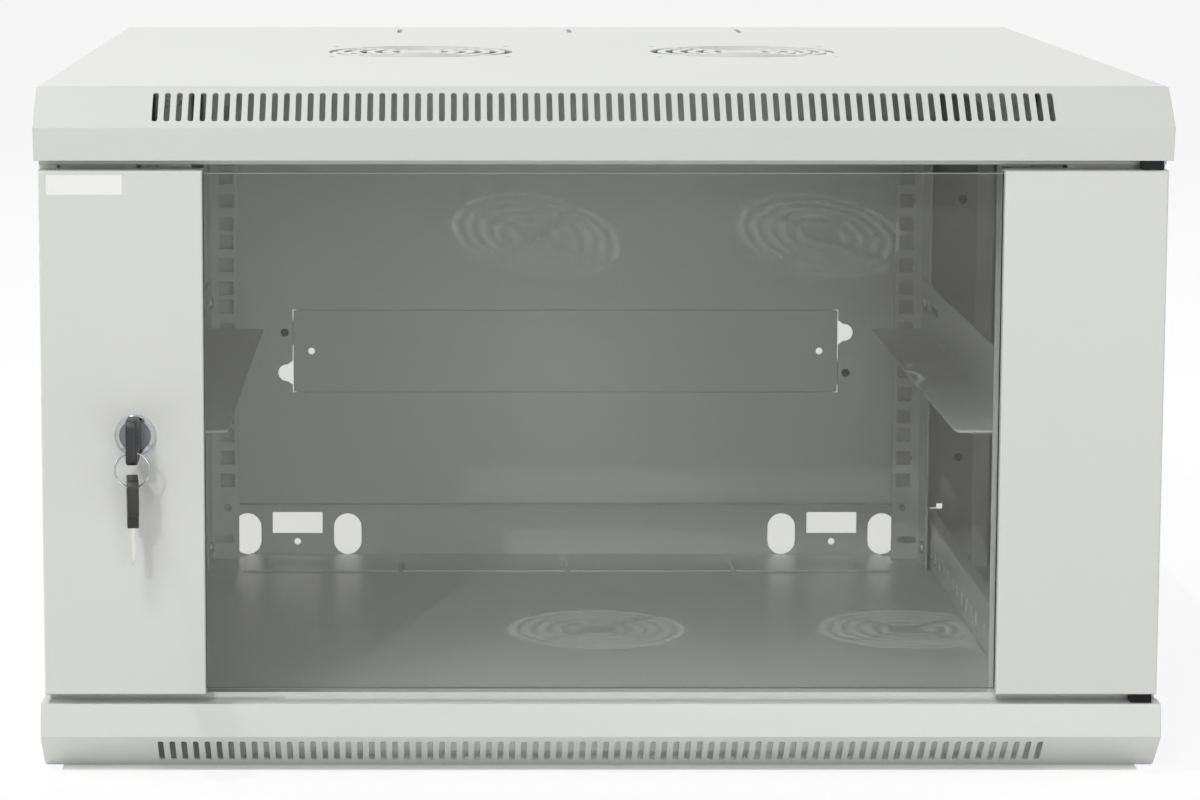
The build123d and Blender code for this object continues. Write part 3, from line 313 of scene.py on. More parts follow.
@dataclass(frozen=True)
class PowderCoat:
    """Powder coat baked on sheet steel: a satin film, finely grained, with faint orange peel."""

    name: str
    colour: str
    shade: str
    roughness: Span = (0.30, 0.40)
    # The real grain is about 0.3 mm; it is drawn coarser so that it shows.
    grain: Layer = Layer(1.3, 3.0, 0.22, 0.06)
    peel: Layer = Layer(9.0, 1.0, 0.12, 0.3)
    cloud: Layer = Layer(170.0, 4.0)
    edge_mm: float = 0.7
    specular: float = 0.5

    def make(self) -> bpy.types.Material:
        """Builds the material, with rounded edge light where sheets are folded or cut.

        Returns:
            The new material.
        """
        material, tree, spot = new_material(self.name)
        grain, peel, cloud = [
            add_noise(tree, spot, 1 / (layer.size_mm * MM), layer.detail)
            for layer in (self.grain, self.peel, self.cloud)
        ]
        edge = add_rounding(tree, self.edge_mm)
        wave = add_relief(tree, peel, edge, self.peel.strength, self.peel.depth_mm)
        fine = add_relief(tree, grain, wave, self.grain.strength, self.grain.depth_mm)
        close_principled(
            tree,
            {"IOR": POLYMER_IOR, "Specular IOR Level": self.specular},
            add_tone(tree, self.shade, self.colour, cloud),
            add_range(tree, self.roughness, grain),
            fine,
        )
        return material


@dataclass(frozen=True)
class GrainedSurface:
    """A surface whose tone, gloss and relief follow one grain, even or drawn out along an axis."""

    name: str
    colour: str
    shade: str
    roughness: Span
    grain_mm: Point
    grain_strength: float

    def make_grained(
        self, detail: float, depth_mm: float, edge_mm: float, values: Dict[str, float]
    ) -> bpy.types.Material:
        """Builds the material.

        Args:
            detail: octaves of the grain.
            depth_mm: full depth of the grain.
            edge_mm: radius at which edges catch the light.
            values: shader inputs that tell metal from polymer.

        Returns:
            The new material.
        """
        material, tree, spot = new_material(self.name)
        scale = tuple(1 / (size * MM) for size in self.grain_mm)
        stretch = add_node(tree, "ShaderNodeMapping", None, {"Scale": scale}, {"Vector": spot})
        grain = add_noise(tree, stretch.outputs["Vector"], 1.0, detail)
        edge = add_rounding(tree, edge_mm)
        close_principled(
            tree,
            values,
            add_tone(tree, self.shade, self.colour, grain),
            add_range(tree, self.roughness, grain),
            add_relief(tree, grain, edge, self.grain_strength, depth_mm),
        )
        return material


@dataclass(frozen=True)
class PlatedMetal(GrainedSurface):
    """Plated or oxidised steel or brass: a metal film with fine marks of its working."""

    detail: float = 4.0
    depth_mm: float = 0.05
    edge_mm: float = 0.25

    def make(self) -> bpy.types.Material:
        """Builds the material with its marks.

        Returns:
            The new material.
        """
        return self.make_grained(self.detail, self.depth_mm, self.edge_mm, {"Metallic": 1.0})


@dataclass(frozen=True)
class MouldedPolymer(GrainedSurface):
    """Moulded or extruded polymer: ABS, nylon or rubber, with the grain or lines of its tool."""

    detail: float = 3.0
    depth_mm: float = 0.08
    edge_mm: float = 0.35
    ior: float = POLYMER_IOR

    def make(self) -> bpy.types.Material:
        """Builds the material with its tool grain.

        Returns:
            The new material.
        """
        return self.make_grained(self.detail, self.depth_mm, self.edge_mm, {"IOR": self.ior})


@dataclass(frozen=True)
class GroundGlass(MouldedPolymer):
    """The matt seam that a grinder leaves on a glass edge, seen as a surface of its own."""

    edge_mm: float = 0.1
    ior: float = GLASS_IOR


@dataclass(frozen=True)
class LabelPaper(MouldedPolymer):
    """Coated label paper, blank: a matt white sheet with a fine fibre."""

    roughness: Span = (0.45, 0.6)
    grain_mm: Point = (1.6, 0.6, 0.4)
    grain_strength: float = 0.15
    edge_mm: float = 0.05
    ior: float = 1.45


@dataclass(frozen=True)
class FloatGlass:
    """Toughened float glass, lightly grey: clear to the eye, and lamps shine through it."""

    name: str
    colour: str
    face_colour: str
    roughness: Span = (0.0, 0.03)
    haze_mm: float = 60.0
    haze_detail: float = 5.0
    haze_distortion: float = 1.5
    haze_start: float = 0.45

    def make(self) -> bpy.types.Material:
        """Builds the material, with a trace of wiping haze in its roughness.

        Shadow rays pass each of the two faces in the face colour.

        Returns:
            The new material.
        """
        material, tree, spot = new_material(self.name)
        haze = add_node(
            tree,
            "ShaderNodeTexNoise",
            values={
                "Scale": 1 / (self.haze_mm * MM),
                "Detail": self.haze_detail,
                "Distortion": self.haze_distortion,
            },
            links={"Vector": spot},
        )
        wiped = add_range(tree, self.roughness, haze.outputs["Fac"], self.haze_start)
        pane = add_node(
            tree,
            "ShaderNodeBsdfPrincipled",
            values={
                "Base Color": to_linear(self.colour),
                "IOR": GLASS_IOR,
                "Transmission Weight": 1.0,
            },
            links={"Roughness": wiped},
        )
        tint = {"Color": to_linear(self.face_colour)}
        light = add_node(tree, "ShaderNodeBsdfTransparent", values=tint)
        path = add_node(tree, "ShaderNodeLightPath")
        either = add_node(
            tree,
            "ShaderNodeMixShader",
            links={
                0: path.outputs["Is Shadow Ray"],
                1: pane.outputs["BSDF"],
                2: light.outputs["BSDF"],
            },
        )
        close_surface(tree, either.outputs["Shader"])
        return material


class Finish(Enum):
    """The cabinet's finishes, each with the way it is made and the record's material slot."""

    COAT = (PowderCoat("light_grey_powder_coat", "#D0D1CE", "#CCCECA"), "light_grey_paint")
    GLASS = (FloatGlass("grey_toughened_float_glass", "#DADBD9", "#EDEEED"), "tinted_glass")
    GROUND_GLASS = (
        GroundGlass("ground_glass_edge", "#A9ACA8", "#8E938F", (0.35, 0.6), (0.4, 0.4, 0.4), 0.4),
        "tinted_glass",
    )
    GASKET = (
        MouldedPolymer(
            "extruded_rubber_gasket", "#1C1C1C", "#141414", (0.6, 0.75), (0.5, 0.5, 60.0), 0.3
        ),
        "black_rubber",
    )
    CHROME = (
        PlatedMetal(
            "bright_chrome_on_zinc", "#BFC1C3", "#A6A8AB", (0.06, 0.14), (1.2, 1.2, 1.2), 0.05
        ),
        "bright_chrome",
    )
    # Nickel plate whose colour is painted much darker than real metal, a painted reflection of
    # dark surroundings on the barrel's face.
    BARREL_PAINTED_DARK = (
        PlatedMetal(
            "nickel_barrel_painted_dark_reflection", "#8B8C8E", "#6E6F71", (0.22, 0.36), (0.3, 4.0, 0.3), 0.15
        ),
        "bright_chrome",
    )
    ZINC = (
        PlatedMetal("zinc_plated_steel", "#DADCDD", "#BCBFC1", (0.4, 0.56), (0.7, 0.7, 0.7), 0.15),
        "zinc_steel",
    )
    SPRING = (
        PlatedMetal(
            "drawn_spring_steel", "#B4B6B8", "#94979A", (0.25, 0.35), (0.4, 0.4, 0.4), 0.1
        ),
        "zinc_steel",
    )
    KEY = (
        PlatedMetal(
            "nickel_plated_brass", "#E2DFD8", "#C4C0B6", (0.2, 0.34), (0.25, 0.25, 8.0), 0.2
        ),
        "bright_chrome",
    )
    BLACK_STEEL = (
        PlatedMetal("black_oxide_steel", "#2A2A2C", "#18181A", (0.35, 0.5), (0.6, 0.6, 0.6), 0.2),
        "black_steel",
    )
    ABS = (
        MouldedPolymer(
            "moulded_black_abs", "#232324", "#1A1A1B", (0.38, 0.52), (0.5, 0.5, 0.5), 0.3
        ),
        "black_plastic",
    )
    NYLON = (
        MouldedPolymer(
            "moulded_black_nylon", "#2B2B2B", "#1E1E1E", (0.5, 0.62), (0.8, 0.8, 0.8), 0.2
        ),
        "black_nylon",
    )
    LABEL = (LabelPaper("blank_label_paper", "#E8E9E7", "#E2E3E0"), None)

    @property
    def slot(self) -> Optional[str]:
        """The record's material slot, where there is one."""
        return self.value[1]

    def material(self) -> bpy.types.Material:
        """Gives the finish's material, which is made once.

        Returns:
            The material.
        """
        found = bpy.data.materials.get(self.value[0].name)
        return found or self.value[0].make()


def dress(obj: bpy.types.Object, finish: Finish) -> None:
    """Gives an object one finish all over.

    Args:
        obj: a finished piece or a carried-over CAD node.
        finish: its finish.
    """
    obj.data.materials.clear()
    obj.data.materials.append(finish.material())


def dress_nodes(finish: Finish, *names: str) -> None:
    """Gives carried-over CAD nodes one finish.

    Args:
        finish: their finish.
        names: the nodes' names.
    """
    for name in names:
        dress(frame["nodes"][name], finish)


def finish_piece(
    obj: bpy.types.Object, finish: Finish, body: str, *replaced: str
) -> bpy.types.Object:
    """Dresses a finished piece, sets it on its body and hides what it stands for.

    Args:
        obj: the piece, with its place in its mesh.
        finish: its finish.
        body: the CAD body that it rides on.
        replaced: the CAD nodes that it stands for.

    Returns:
        The same object.
    """
    dress(obj, finish)
    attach(obj, body)
    if replaced:
        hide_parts(*replaced)
    log.info("piece %s on %s", obj.name, body)
    return obj


def new_object(name: str, mesh: bpy.types.Mesh) -> bpy.types.Object:
    """Links a mesh to the scene as an object at the origin.

    Args:
        name: the object's name.
        mesh: its mesh.

    Returns:
        The new object.
    """
    obj = bpy.data.objects.new(name, mesh)
    bpy.context.scene.collection.objects.link(obj)
    return obj


def mesh_from_bmesh(name: str, shape: bmesh.types.BMesh) -> bpy.types.Mesh:
    """Turns a bmesh into a mesh with outward faces, smooth but for its sharp edges.

    Args:
        name: the mesh's name.
        shape: the bmesh, which is freed.

    Returns:
        The new mesh.
    """
    bmesh.ops.recalc_face_normals(shape, faces=shape.faces)
    limit = math.radians(SMOOTH_DEG)
    for edge in shape.edges:
        edge.smooth = len(edge.link_faces) == 2 and edge.calc_face_angle(0.0) < limit
    for face in shape.faces:
        face.smooth = True
    mesh = bpy.data.meshes.new(name)
    shape.to_mesh(mesh)
    shape.free()
    return mesh


def turned(name: str, profile: Sequence[Span], sides: int) -> bpy.types.Mesh:
    """Turns a closed body round Z from its half profile.

    Args:
        name: the mesh's name.
        profile: radius and height in millimetres, from the axis at one end to the axis at
            the other.
        sides: sides of the body.

    Returns:
        The closed mesh, in metres.
    """
    shape = bmesh.new()
    angles = [2 * math.pi * k / sides for k in range(sides)]
    rings: List[List[bmesh.types.BMVert]] = []
    for radius, height in profile:
        if radius == 0:
            rings.append([shape.verts.new((0, 0, height * MM))])
            continue
        wide = radius * MM
        rings.append(
            [
                shape.verts.new((wide * math.cos(a), wide * math.sin(a), height * MM))
                for a in angles
            ]
        )
    for low, high in zip(rings, rings[1:]):
        for k in range(sides):
            corners = [
                low[k % len(low)],
                low[(k + 1) % len(low)],
                high[(k + 1) % len(high)],
                high[k % len(high)],
            ]
            unique = list(dict.fromkeys(corners))
            if len(unique) > 2:
                shape.faces.new(unique)
    return mesh_from_bmesh(name, shape)


class GeometryTree:
    """A geometry node tree with named inputs that is run once and leaves a plain mesh."""

    def __init__(self, name: str, sizes: Dict[str, float], blank: bool = False) -> None:
        """Starts the tree.

        Args:
            name: the tree's name.
            sizes: value by input name.
            blank: adds an object input named Blank.
        """
        self.tree = bpy.data.node_groups.new(name, "GeometryNodeTree")
        self.sizes = sizes
        face = self.tree.interface
        face.new_socket("Geometry", in_out="INPUT", socket_type="NodeSocketGeometry")
        if blank:
            face.new_socket("Blank", in_out="INPUT", socket_type="NodeSocketObject")
        for label, size in sizes.items():
            socket = face.new_socket(label, in_out="INPUT", socket_type="NodeSocketFloat")
            socket.default_value = size
        face.new_socket("Geometry", in_out="OUTPUT", socket_type="NodeSocketGeometry")
        self.given = self.add("NodeGroupInput").outputs

    def add(
        self,
        kind: str,
        settings: Optional[Dict[str, Any]] = None,
        values: Optional[Dict[Any, Any]] = None,
        links: Optional[Dict[Any, Socket]] = None,
    ) -> bpy.types.Node:
        """Adds one node to the tree.

        Args:
            kind: the node's type.
            settings: attributes of the node itself.
            values: default values by input name or number.
            links: sockets that feed the inputs, by input name or number.

        Returns:
            The new node.
        """
        return add_node(self.tree, kind, settings, values, links)

    def close(self, geometry: Socket, material: bpy.types.Material) -> None:
        """Ends the tree in Realize Instances and Set Material.

        Args:
            geometry: the socket of what was built.
            material: the material that it gets.
        """
        plain = self.add("GeometryNodeRealizeInstances", links={0: geometry})
        painted = self.add(
            "GeometryNodeSetMaterial",
            values={"Material": material},
            links={"Geometry": plain.outputs[0]},
        )
        self.add("NodeGroupOutput", links={0: painted.outputs[0]})

    def run(self, obj: bpy.types.Object, blank: Optional[bpy.types.Object] = None) -> None:
        """Runs the tree on an object and leaves the result as its plain mesh.

        Args:
            obj: the object that carries the starting mesh.
            blank: the object for the input named Blank.
        """
        values = {"Blank": blank, **self.sizes}
        modifier = obj.modifiers.new(self.tree.name, "NODES")
        modifier.node_group = self.tree
        for item in self.tree.interface.items_tree:
            if item.item_type == "SOCKET" and item.in_out == "INPUT" and item.name in values:
                modifier[item.identifier] = values[item.name]
        graph = bpy.context.evaluated_depsgraph_get()
        made = bpy.data.meshes.new_from_object(obj.evaluated_get(graph), depsgraph=graph)
        obj.modifiers.remove(modifier)
        obj.data = made


@dataclass(frozen=True)
class Place:
    """Where a repeated piece stands, in millimetres, and the direction of its head."""

    point: Point
    facing: Point


def seed_mesh(name: str, places: Sequence[Place]) -> bpy.types.Mesh:
    """Makes a mesh of loose points that carry the direction of each piece.

    Args:
        name: the mesh's name.
        places: one per point.

    Returns:
        The mesh, in metres, with a vector attribute named facing.
    """
    mesh = bpy.data.meshes.new(name)
    mesh.from_pydata([tuple(c * MM for c in place.point) for place in places], [], [])
    facing = mesh.attributes.new("facing", "FLOAT_VECTOR", "POINT")
    facing.data.foreach_set("vector", [c for place in places for c in place.facing])
    return mesh


@dataclass(frozen=True)
class FastenerSize:
    """Sizes of a pan head screw or a rivet in millimetres; a recess of 0 leaves it plain."""

    head: float
    head_height: float
    shank: float
    length: float
    recess: float = 0.0
    recess_width: float = 0.0
    recess_depth: float = 0.0


@dataclass(frozen=True)
class FastenerSet:
    """Fasteners of one size, all on one body."""

    name: str
    places: Sequence[Place]
    size: FastenerSize
    finish: Finish
    sides: int = 24
    rim_share: float = 0.35
    dome_angles: Tuple[float, ...] = (0.0, 0.35, 0.7, 1.0, 1.25)
    tip_chamfer: float = 0.4

    def blank_mesh(self) -> bpy.types.Mesh:
        """Turns one fastener with its domed head above Z = 0 and its chamfered shank below.

        Returns:
            The closed mesh.
        """
        half, top, core = self.size.head / 2, self.size.head_height, self.size.shank / 2
        end, tip, rim = -self.size.length, self.tip_chamfer, self.rim_share
        dome = [
            (half * math.cos(a), top * (rim + (1 - rim) * math.sin(a))) for a in self.dome_angles
        ]
        shank = [(0, end), (core - tip, end), (core, end + tip), (core, 0), (half, 0)]
        return turned(f"{self.name}_blank", [*shank, *dome, (0, top)], self.sides)

    def cut_recess(self, tree: GeometryTree, blank: Socket) -> Socket:
        """Cuts a cross recess into the head.

        Args:
            tree: the tree that builds the fasteners.
            blank: the socket of the plain fastener.

        Returns:
            The socket of the cut fastener.
        """
        height = tree.given["Head Height"]
        bottom = add_math(tree.tree, "SUBTRACT", height, tree.given["Recess Depth"])
        middle = add_math(tree.tree, "ADD", bottom, height)
        tall = add_math(tree.tree, "MULTIPLY", height, 2.0)
        lift = tree.add("ShaderNodeCombineXYZ", links={"Z": middle})
        long, wide = tree.given["Recess Length"], tree.given["Recess Width"]
        links = {"Mesh 1": blank}
        cut = tree.add("GeometryNodeMeshBoolean", {"operation": "DIFFERENCE"}, links=links)
        for x, y in ((long, wide), (wide, long)):
            size = tree.add("ShaderNodeCombineXYZ", links={"X": x, "Y": y, "Z": tall})
            bar = tree.add("GeometryNodeMeshCube", links={"Size": size.outputs[0]})
            moved = tree.add(
                "GeometryNodeTransform",
                links={"Geometry": bar.outputs["Mesh"], "Translation": lift.outputs[0]},
            )
            tree.tree.links.new(moved.outputs[0], cut.inputs["Mesh 2"])
        return cut.outputs["Mesh"]

    def build(self, body: str, *replaced: str) -> bpy.types.Object:
        """Sets the fasteners at their places, with a cross recess where they have one.

        Args:
            body: the CAD body that they ride on.
            replaced: the CAD nodes that they stand for.

        Returns:
            The finished piece.
        """
        sizes = {
            "Recess Length": self.size.recess * MM,
            "Recess Width": self.size.recess_width * MM,
            "Recess Depth": self.size.recess_depth * MM,
            "Head Height": self.size.head_height * MM,
        }
        tree = GeometryTree(f"{self.name}_tree", sizes, blank=True)
        blank = tree.add("GeometryNodeObjectInfo", links={"Object": tree.given["Blank"]})
        piece = blank.outputs["Geometry"]
        if self.size.recess:
            piece = self.cut_recess(tree, piece)
        facing = tree.add(
            "GeometryNodeInputNamedAttribute", {"data_type": "FLOAT_VECTOR"}, {"Name": "facing"}
        )
        turn = tree.add(
            "FunctionNodeAlignRotationToVector",
            {"axis": "Z"},
            links={"Vector": facing.outputs["Attribute"]},
        )
        spread = tree.add(
            "GeometryNodeInstanceOnPoints",
            links={
                "Points": tree.given["Geometry"],
                "Instance": piece,
                "Rotation": turn.outputs["Rotation"],
            },
        )
        tree.close(spread.outputs["Instances"], self.finish.material())
        blank_object = new_object(f"{self.name}_blank", self.blank_mesh())
        piece_object = new_object(self.name, seed_mesh(self.name, self.places))
        tree.run(piece_object, blank_object)
        bpy.data.objects.remove(blank_object)
        return finish_piece(piece_object, self.finish, body, *replaced)


@dataclass(frozen=True)
class WireCoil:
    """A coil of round wire in millimetres, such as a spring or a split ring."""

    name: str
    centre: Point
    axis: Point
    radius: float
    wire: float
    turns: float
    height: float
    finish: Finish
    steps: int = 40
    wire_sides: int = 12

    def build(self, body: str, *replaced: str) -> bpy.types.Object:
        """Winds the coil along its axis from its centre's plane.

        Args:
            body: the CAD body that it rides on.
            replaced: the CAD nodes that it stands for.

        Returns:
            The finished piece.
        """
        sizes = {
            "Turns": self.turns,
            "Coil Radius": self.radius * MM,
            "Wire Radius": self.wire * MM / 2,
            "Coil Height": self.height * MM,
        }
        tree = GeometryTree(f"{self.name}_tree", sizes)
        path = tree.add(
            "GeometryNodeCurveSpiral",
            values={"Resolution": self.steps},
            links={
                "Rotations": tree.given["Turns"],
                "Start Radius": tree.given["Coil Radius"],
                "End Radius": tree.given["Coil Radius"],
                "Height": tree.given["Coil Height"],
            },
        )
        section = tree.add(
            "GeometryNodeCurvePrimitiveCircle",
            values={"Resolution": self.wire_sides},
            links={"Radius": tree.given["Wire Radius"]},
        )
        wire = tree.add(
            "GeometryNodeCurveToMesh",
            values={"Fill Caps": True},
            links={"Curve": path.outputs[0], "Profile Curve": section.outputs[0]},
        )
        smooth = tree.add("GeometryNodeSetShadeSmooth", links={"Geometry": wire.outputs[0]})
        tree.close(smooth.outputs[0], self.finish.material())
        obj = new_object(self.name, bpy.data.meshes.new(self.name))
        tree.run(obj)
        turn = Vector((0, 0, 1)).rotation_difference(Vector(self.axis)).to_matrix().to_4x4()
        obj.data.transform(Matrix.Translation([c * MM for c in self.centre]) @ turn)
        return finish_piece(obj, self.finish, body, *replaced)


@dataclass(frozen=True)
class SoftenedCopy:
    """A piece that stands in for a CAD node with its edges rounded, in millimetres."""

    name: str
    node: str
    finish: Finish
    radius: float = 1.0
    segments: int = 3
    weld: float = 0.001
    flat_deg: float = 1.0
    sharp_deg: float = 40.0

    def build(self, body: str) -> bpy.types.Object:
        """Copies the node and rounds its sharp edges.

        Args:
            body: the body that it rides on.

        Returns:
            The finished piece.
        """
        shape = bmesh.new()
        shape.from_mesh(frame["nodes"][self.node].data)
        bmesh.ops.remove_doubles(shape, verts=shape.verts, dist=self.weld * MM)
        bmesh.ops.dissolve_limit(
            shape,
            angle_limit=math.radians(self.flat_deg),
            verts=shape.verts,
            edges=shape.edges,
            delimit={"NORMAL"},
        )
        limit = math.radians(self.sharp_deg)
        sharp = [
            e for e in shape.edges if len(e.link_faces) == 2 and e.calc_face_angle(0.0) > limit
        ]
        bmesh.ops.bevel(
            shape,
            geom=sharp,
            offset=self.radius * MM,
            segments=self.segments,
            profile=0.5,
            affect="EDGES",
            clamp_overlap=True,
        )
        bmesh.ops.triangulate(shape, faces=[f for f in shape.faces if len(f.verts) > 4])
        obj = new_object(self.name, mesh_from_bmesh(self.name, shape))
        return finish_piece(obj, self.finish, body, self.node)


@dataclass(frozen=True)
class CoverFrame:
    """The two covers, the stiffeners and the corner posts with their side bars."""

    rivet: FastenerSize = FastenerSize(head=6.0, head_height=1.4, shank=3.2, length=1.0)
    rivet_x: float = 272.6
    rivet_y: float = 297.6
    rivet_heights: Tuple[float, ...] = (70.8, 118.0, 250.0, 297.0)

    def build(self) -> None:
        """Dresses the sheets and sets the rivets in the rear posts."""
        dress_nodes(Finish.COAT, "bottom_cover", "top_cover", "floor_stiffener", "roof_stiffener")
        for side in ("left", "right"):
            dress_nodes(Finish.COAT, f"front_post_{side}", f"rear_post_{side}")
            dress_nodes(Finish.COAT, f"side_bar_lower_{side}", f"side_bar_upper_{side}")
        dress_nodes(Finish.ZINC, "frame_nuts")
        places = [
            Place((side * self.rivet_x, self.rivet_y, height), (0, -1, 0))
            for side in (-1, 1)
            for height in self.rivet_heights
        ]
        FastenerSet("post_rivets", places, self.rivet, Finish.BLACK_STEEL).build("cabinet")


@dataclass(frozen=True)
class RackRails:
    """Rack rails and support angles with their screws."""

    rail_screw: FastenerSize = FastenerSize(8.8, 2.6, 5.0, 10.4, 4.6, 1.1, 1.6)
    rail_face_x: float = 243.6
    rail_screw_y: Span = (-155.6, 262.4)
    rail_screw_z: Span = (14.2, 353.8)
    angle_screw: FastenerSize = FastenerSize(8.8, 2.6, 5.0, 8.0, 4.6, 1.1, 1.6)
    angle_face_x: float = 242.1
    angle_screw_y: Span = (-148.2, 255.0)
    angle_screw_z: float = 184.0

    def build(self) -> None:
        """Dresses the rails and sets cross recess screws in place of the plain ones."""
        for side in ("left", "right"):
            dress_nodes(Finish.COAT, f"rack_rail_front_{side}", f"rack_rail_rear_{side}")
            dress_nodes(Finish.COAT, f"support_angle_{side}")
        dress_nodes(Finish.ZINC, "rail_spacers", "rail_nuts", "support_nuts")
        rail_places = [
            Place((side * self.rail_face_x, y, z), (-side, 0, 0))
            for side in (-1, 1)
            for y in self.rail_screw_y
            for z in self.rail_screw_z
        ]
        rail_screws = FastenerSet("rail_pan_screws", rail_places, self.rail_screw, Finish.ZINC)
        rail_screws.build("cabinet", "rail_screws")
        angle_places = [
            Place((side * self.angle_face_x, y, self.angle_screw_z), (-side, 0, 0))
            for side in (-1, 1)
            for y in self.angle_screw_y
        ]
        angle_screws = FastenerSet(
            "support_pan_screws", angle_places, self.angle_screw, Finish.ZINC
        )
        angle_screws.build("cabinet", "support_screws")


@dataclass(frozen=True)
class RearWall:
    """Rear wall with its cable cover plate."""

    face_y: float = 296.4
    rivet: FastenerSize = FastenerSize(head=7.0, head_height=2.0, shank=4.0, length=2.4)
    rivet_x: float = 244.0
    rivet_heights: Tuple[float, ...] = (77.4, 184.0, 290.6)
    plate_screw: FastenerSize = FastenerSize(5.6, 2.2, 3.5, 2.4, 3.2, 0.8, 1.2)
    plate_screw_x: float = 193.5
    plate_screw_z: Span = (158.0, 130.0)

    def build(self) -> None:
        """Dresses the wall and its plate and sets their fasteners."""
        dress_nodes(Finish.COAT, "rear_wall", "cable_cover_plate")
        places = [
            Place((side * self.rivet_x, self.face_y, z), (0, -1, 0))
            for side in (-1, 1)
            for z in self.rivet_heights
        ]
        rivets = FastenerSet("wall_dome_rivets", places, self.rivet, Finish.COAT)
        rivets.build("cabinet", "wall_rivets")
        places = [
            Place((side * self.plate_screw_x, self.face_y, z), (0, -1, 0))
            for side, z in zip((-1, 1), self.plate_screw_z)
        ]
        screws = FastenerSet("plate_pan_screws", places, self.plate_screw, Finish.BLACK_STEEL)
        screws.build("cabinet", "cable_cover_screws")


class SidePanels:
    """Lift-off side panels with their slotted latches."""

    def build(self) -> None:
        """Dresses both panels and their latches."""
        for side in ("left", "right"):
            dress_nodes(Finish.COAT, f"side_panel_{side}")
            dress_nodes(Finish.CHROME, f"latch_bezel_{side}", f"side_latch_{side}")


@dataclass(frozen=True)
class GlazedDoor:
    """Door panels, the glass between them and the blank label, in millimetres."""

    label_x: Span = (-293.6, -253.6)
    label_z: Span = (312.0, 322.6)
    label_y: float = -297.5
    label_thickness: float = 0.15
    label_corner: float = 0.6
    corner_steps_deg: Tuple[int, ...] = (0, 30, 60, 90)
    glass_opening_x: float = 223.6
    edge_proud: float = 0.4
    edge_margin: float = 0.1
    edge_chamfer: float = 0.6

    def build(self) -> None:
        """Dresses the door, seams the edges of its glass and lays on the label."""
        for side in ("left", "right"):
            dress_nodes(Finish.COAT, f"door_panel_{side}", f"door_inner_plate_{side}")
            dress_nodes(Finish.GASKET, f"glass_gasket_{side}")
        dress_nodes(Finish.GLASS, "door_glass")
        self.build_ground_edge("glass_edge_top", 1)
        self.build_ground_edge("glass_edge_bottom", -1)
        self.build_label()

    def build_ground_edge(self, name: str, outward: int) -> bpy.types.Object:
        """Lays a matt, chamfered strip on an edge of the glass, as its grinder leaves it.

        Args:
            name: the strip's name.
            outward: 1 for the glass's highest edge and -1 for its lowest.

        Returns:
            The finished strip.
        """
        low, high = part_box("door_glass")
        level = high[2] if outward > 0 else low[2]
        half, depth = self.glass_opening_x * MM, self.edge_proud * MM
        section = (
            (low[1] + self.edge_margin * MM, 0.0),
            (high[1] - self.edge_margin * MM, 0.0),
            (high[1] - self.edge_chamfer * MM, depth),
            (low[1] + self.edge_chamfer * MM, depth),
        )
        shape = bmesh.new()
        ends = [
            [shape.verts.new((x, y, level + outward * rise)) for y, rise in section]
            for x in (-half, half)
        ]
        shape.faces.new(ends[0])
        shape.faces.new(ends[1][::-1])
        for k in range(len(section)):
            after = (k + 1) % len(section)
            shape.faces.new((ends[0][k], ends[1][k], ends[1][after], ends[0][after]))
        strip = new_object(name, mesh_from_bmesh(name, shape))
        return finish_piece(strip, Finish.GROUND_GLASS, "door")

    def build_label(self) -> bpy.types.Object:
        """Cuts the blank label with rounded corners and lays it on the left door panel.

        Returns:
            The finished label.
        """
        (x0, x1), (z0, z1), r = self.label_x, self.label_z, self.label_corner
        corners = (
            (x1 - r, z1 - r, 0),
            (x0 + r, z1 - r, 90),
            (x0 + r, z0 + r, 180),
            (x1 - r, z0 + r, 270),
        )
        shape = bmesh.new()
        outline = []
        for cx, cz, start in corners:
            for step in self.corner_steps_deg:
                a = math.radians(start + step)
                x, z = cx + r * math.cos(a), cz + r * math.sin(a)
                outline.append(shape.verts.new((x * MM, self.label_y * MM, z * MM)))
        face = shape.faces.new(outline)
        raised = bmesh.ops.extrude_face_region(shape, geom=[face])
        front = [v for v in raised["geom"] if isinstance(v, bmesh.types.BMVert)]
        bmesh.ops.translate(shape, vec=(0, -self.label_thickness * MM, 0), verts=front)
        label = new_object("blank_label", mesh_from_bmesh("blank_label", shape))
        return finish_piece(label, Finish.LABEL, "door")


@dataclass(frozen=True)
class DoorHinges:
    """Lower pin, upper sprung bolt and their bushes, in millimetres."""

    axis_x: float = 290.0
    axis_y: float = -290.0
    spring_z: Span = (301.5, 313.0)
    spring_radius: float = 3.8
    spring_wire: float = 0.8
    spring_turns: float = 4.0
    bolt_travel: float = 8.0

    def build(self) -> None:
        """Dresses the hinges and winds the spring at one fixed length; it does not shorten here as
        the bolt is drawn down.
        """
        dress_nodes(Finish.BLACK_STEEL, "hinge_pin_lower", "hinge_block_upper")
        dress_nodes(Finish.NYLON, "hinge_bush_lower", "hinge_bush_upper")
        dress_nodes(Finish.COAT, "hinge_bolt_guide")
        dress_nodes(Finish.ZINC, "hinge_bolt")
        low, high = self.spring_z
        wire = self.spring_wire
        spring = WireCoil(
            "bolt_spring",
            centre=(self.axis_x, self.axis_y, low + wire / 2),
            axis=(0, 0, 1),
            radius=self.spring_radius,
            wire=wire,
            turns=self.spring_turns,
            height=high - low - wire,
            finish=Finish.SPRING,
        ).build("door", "hinge_spring")
        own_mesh(spring)


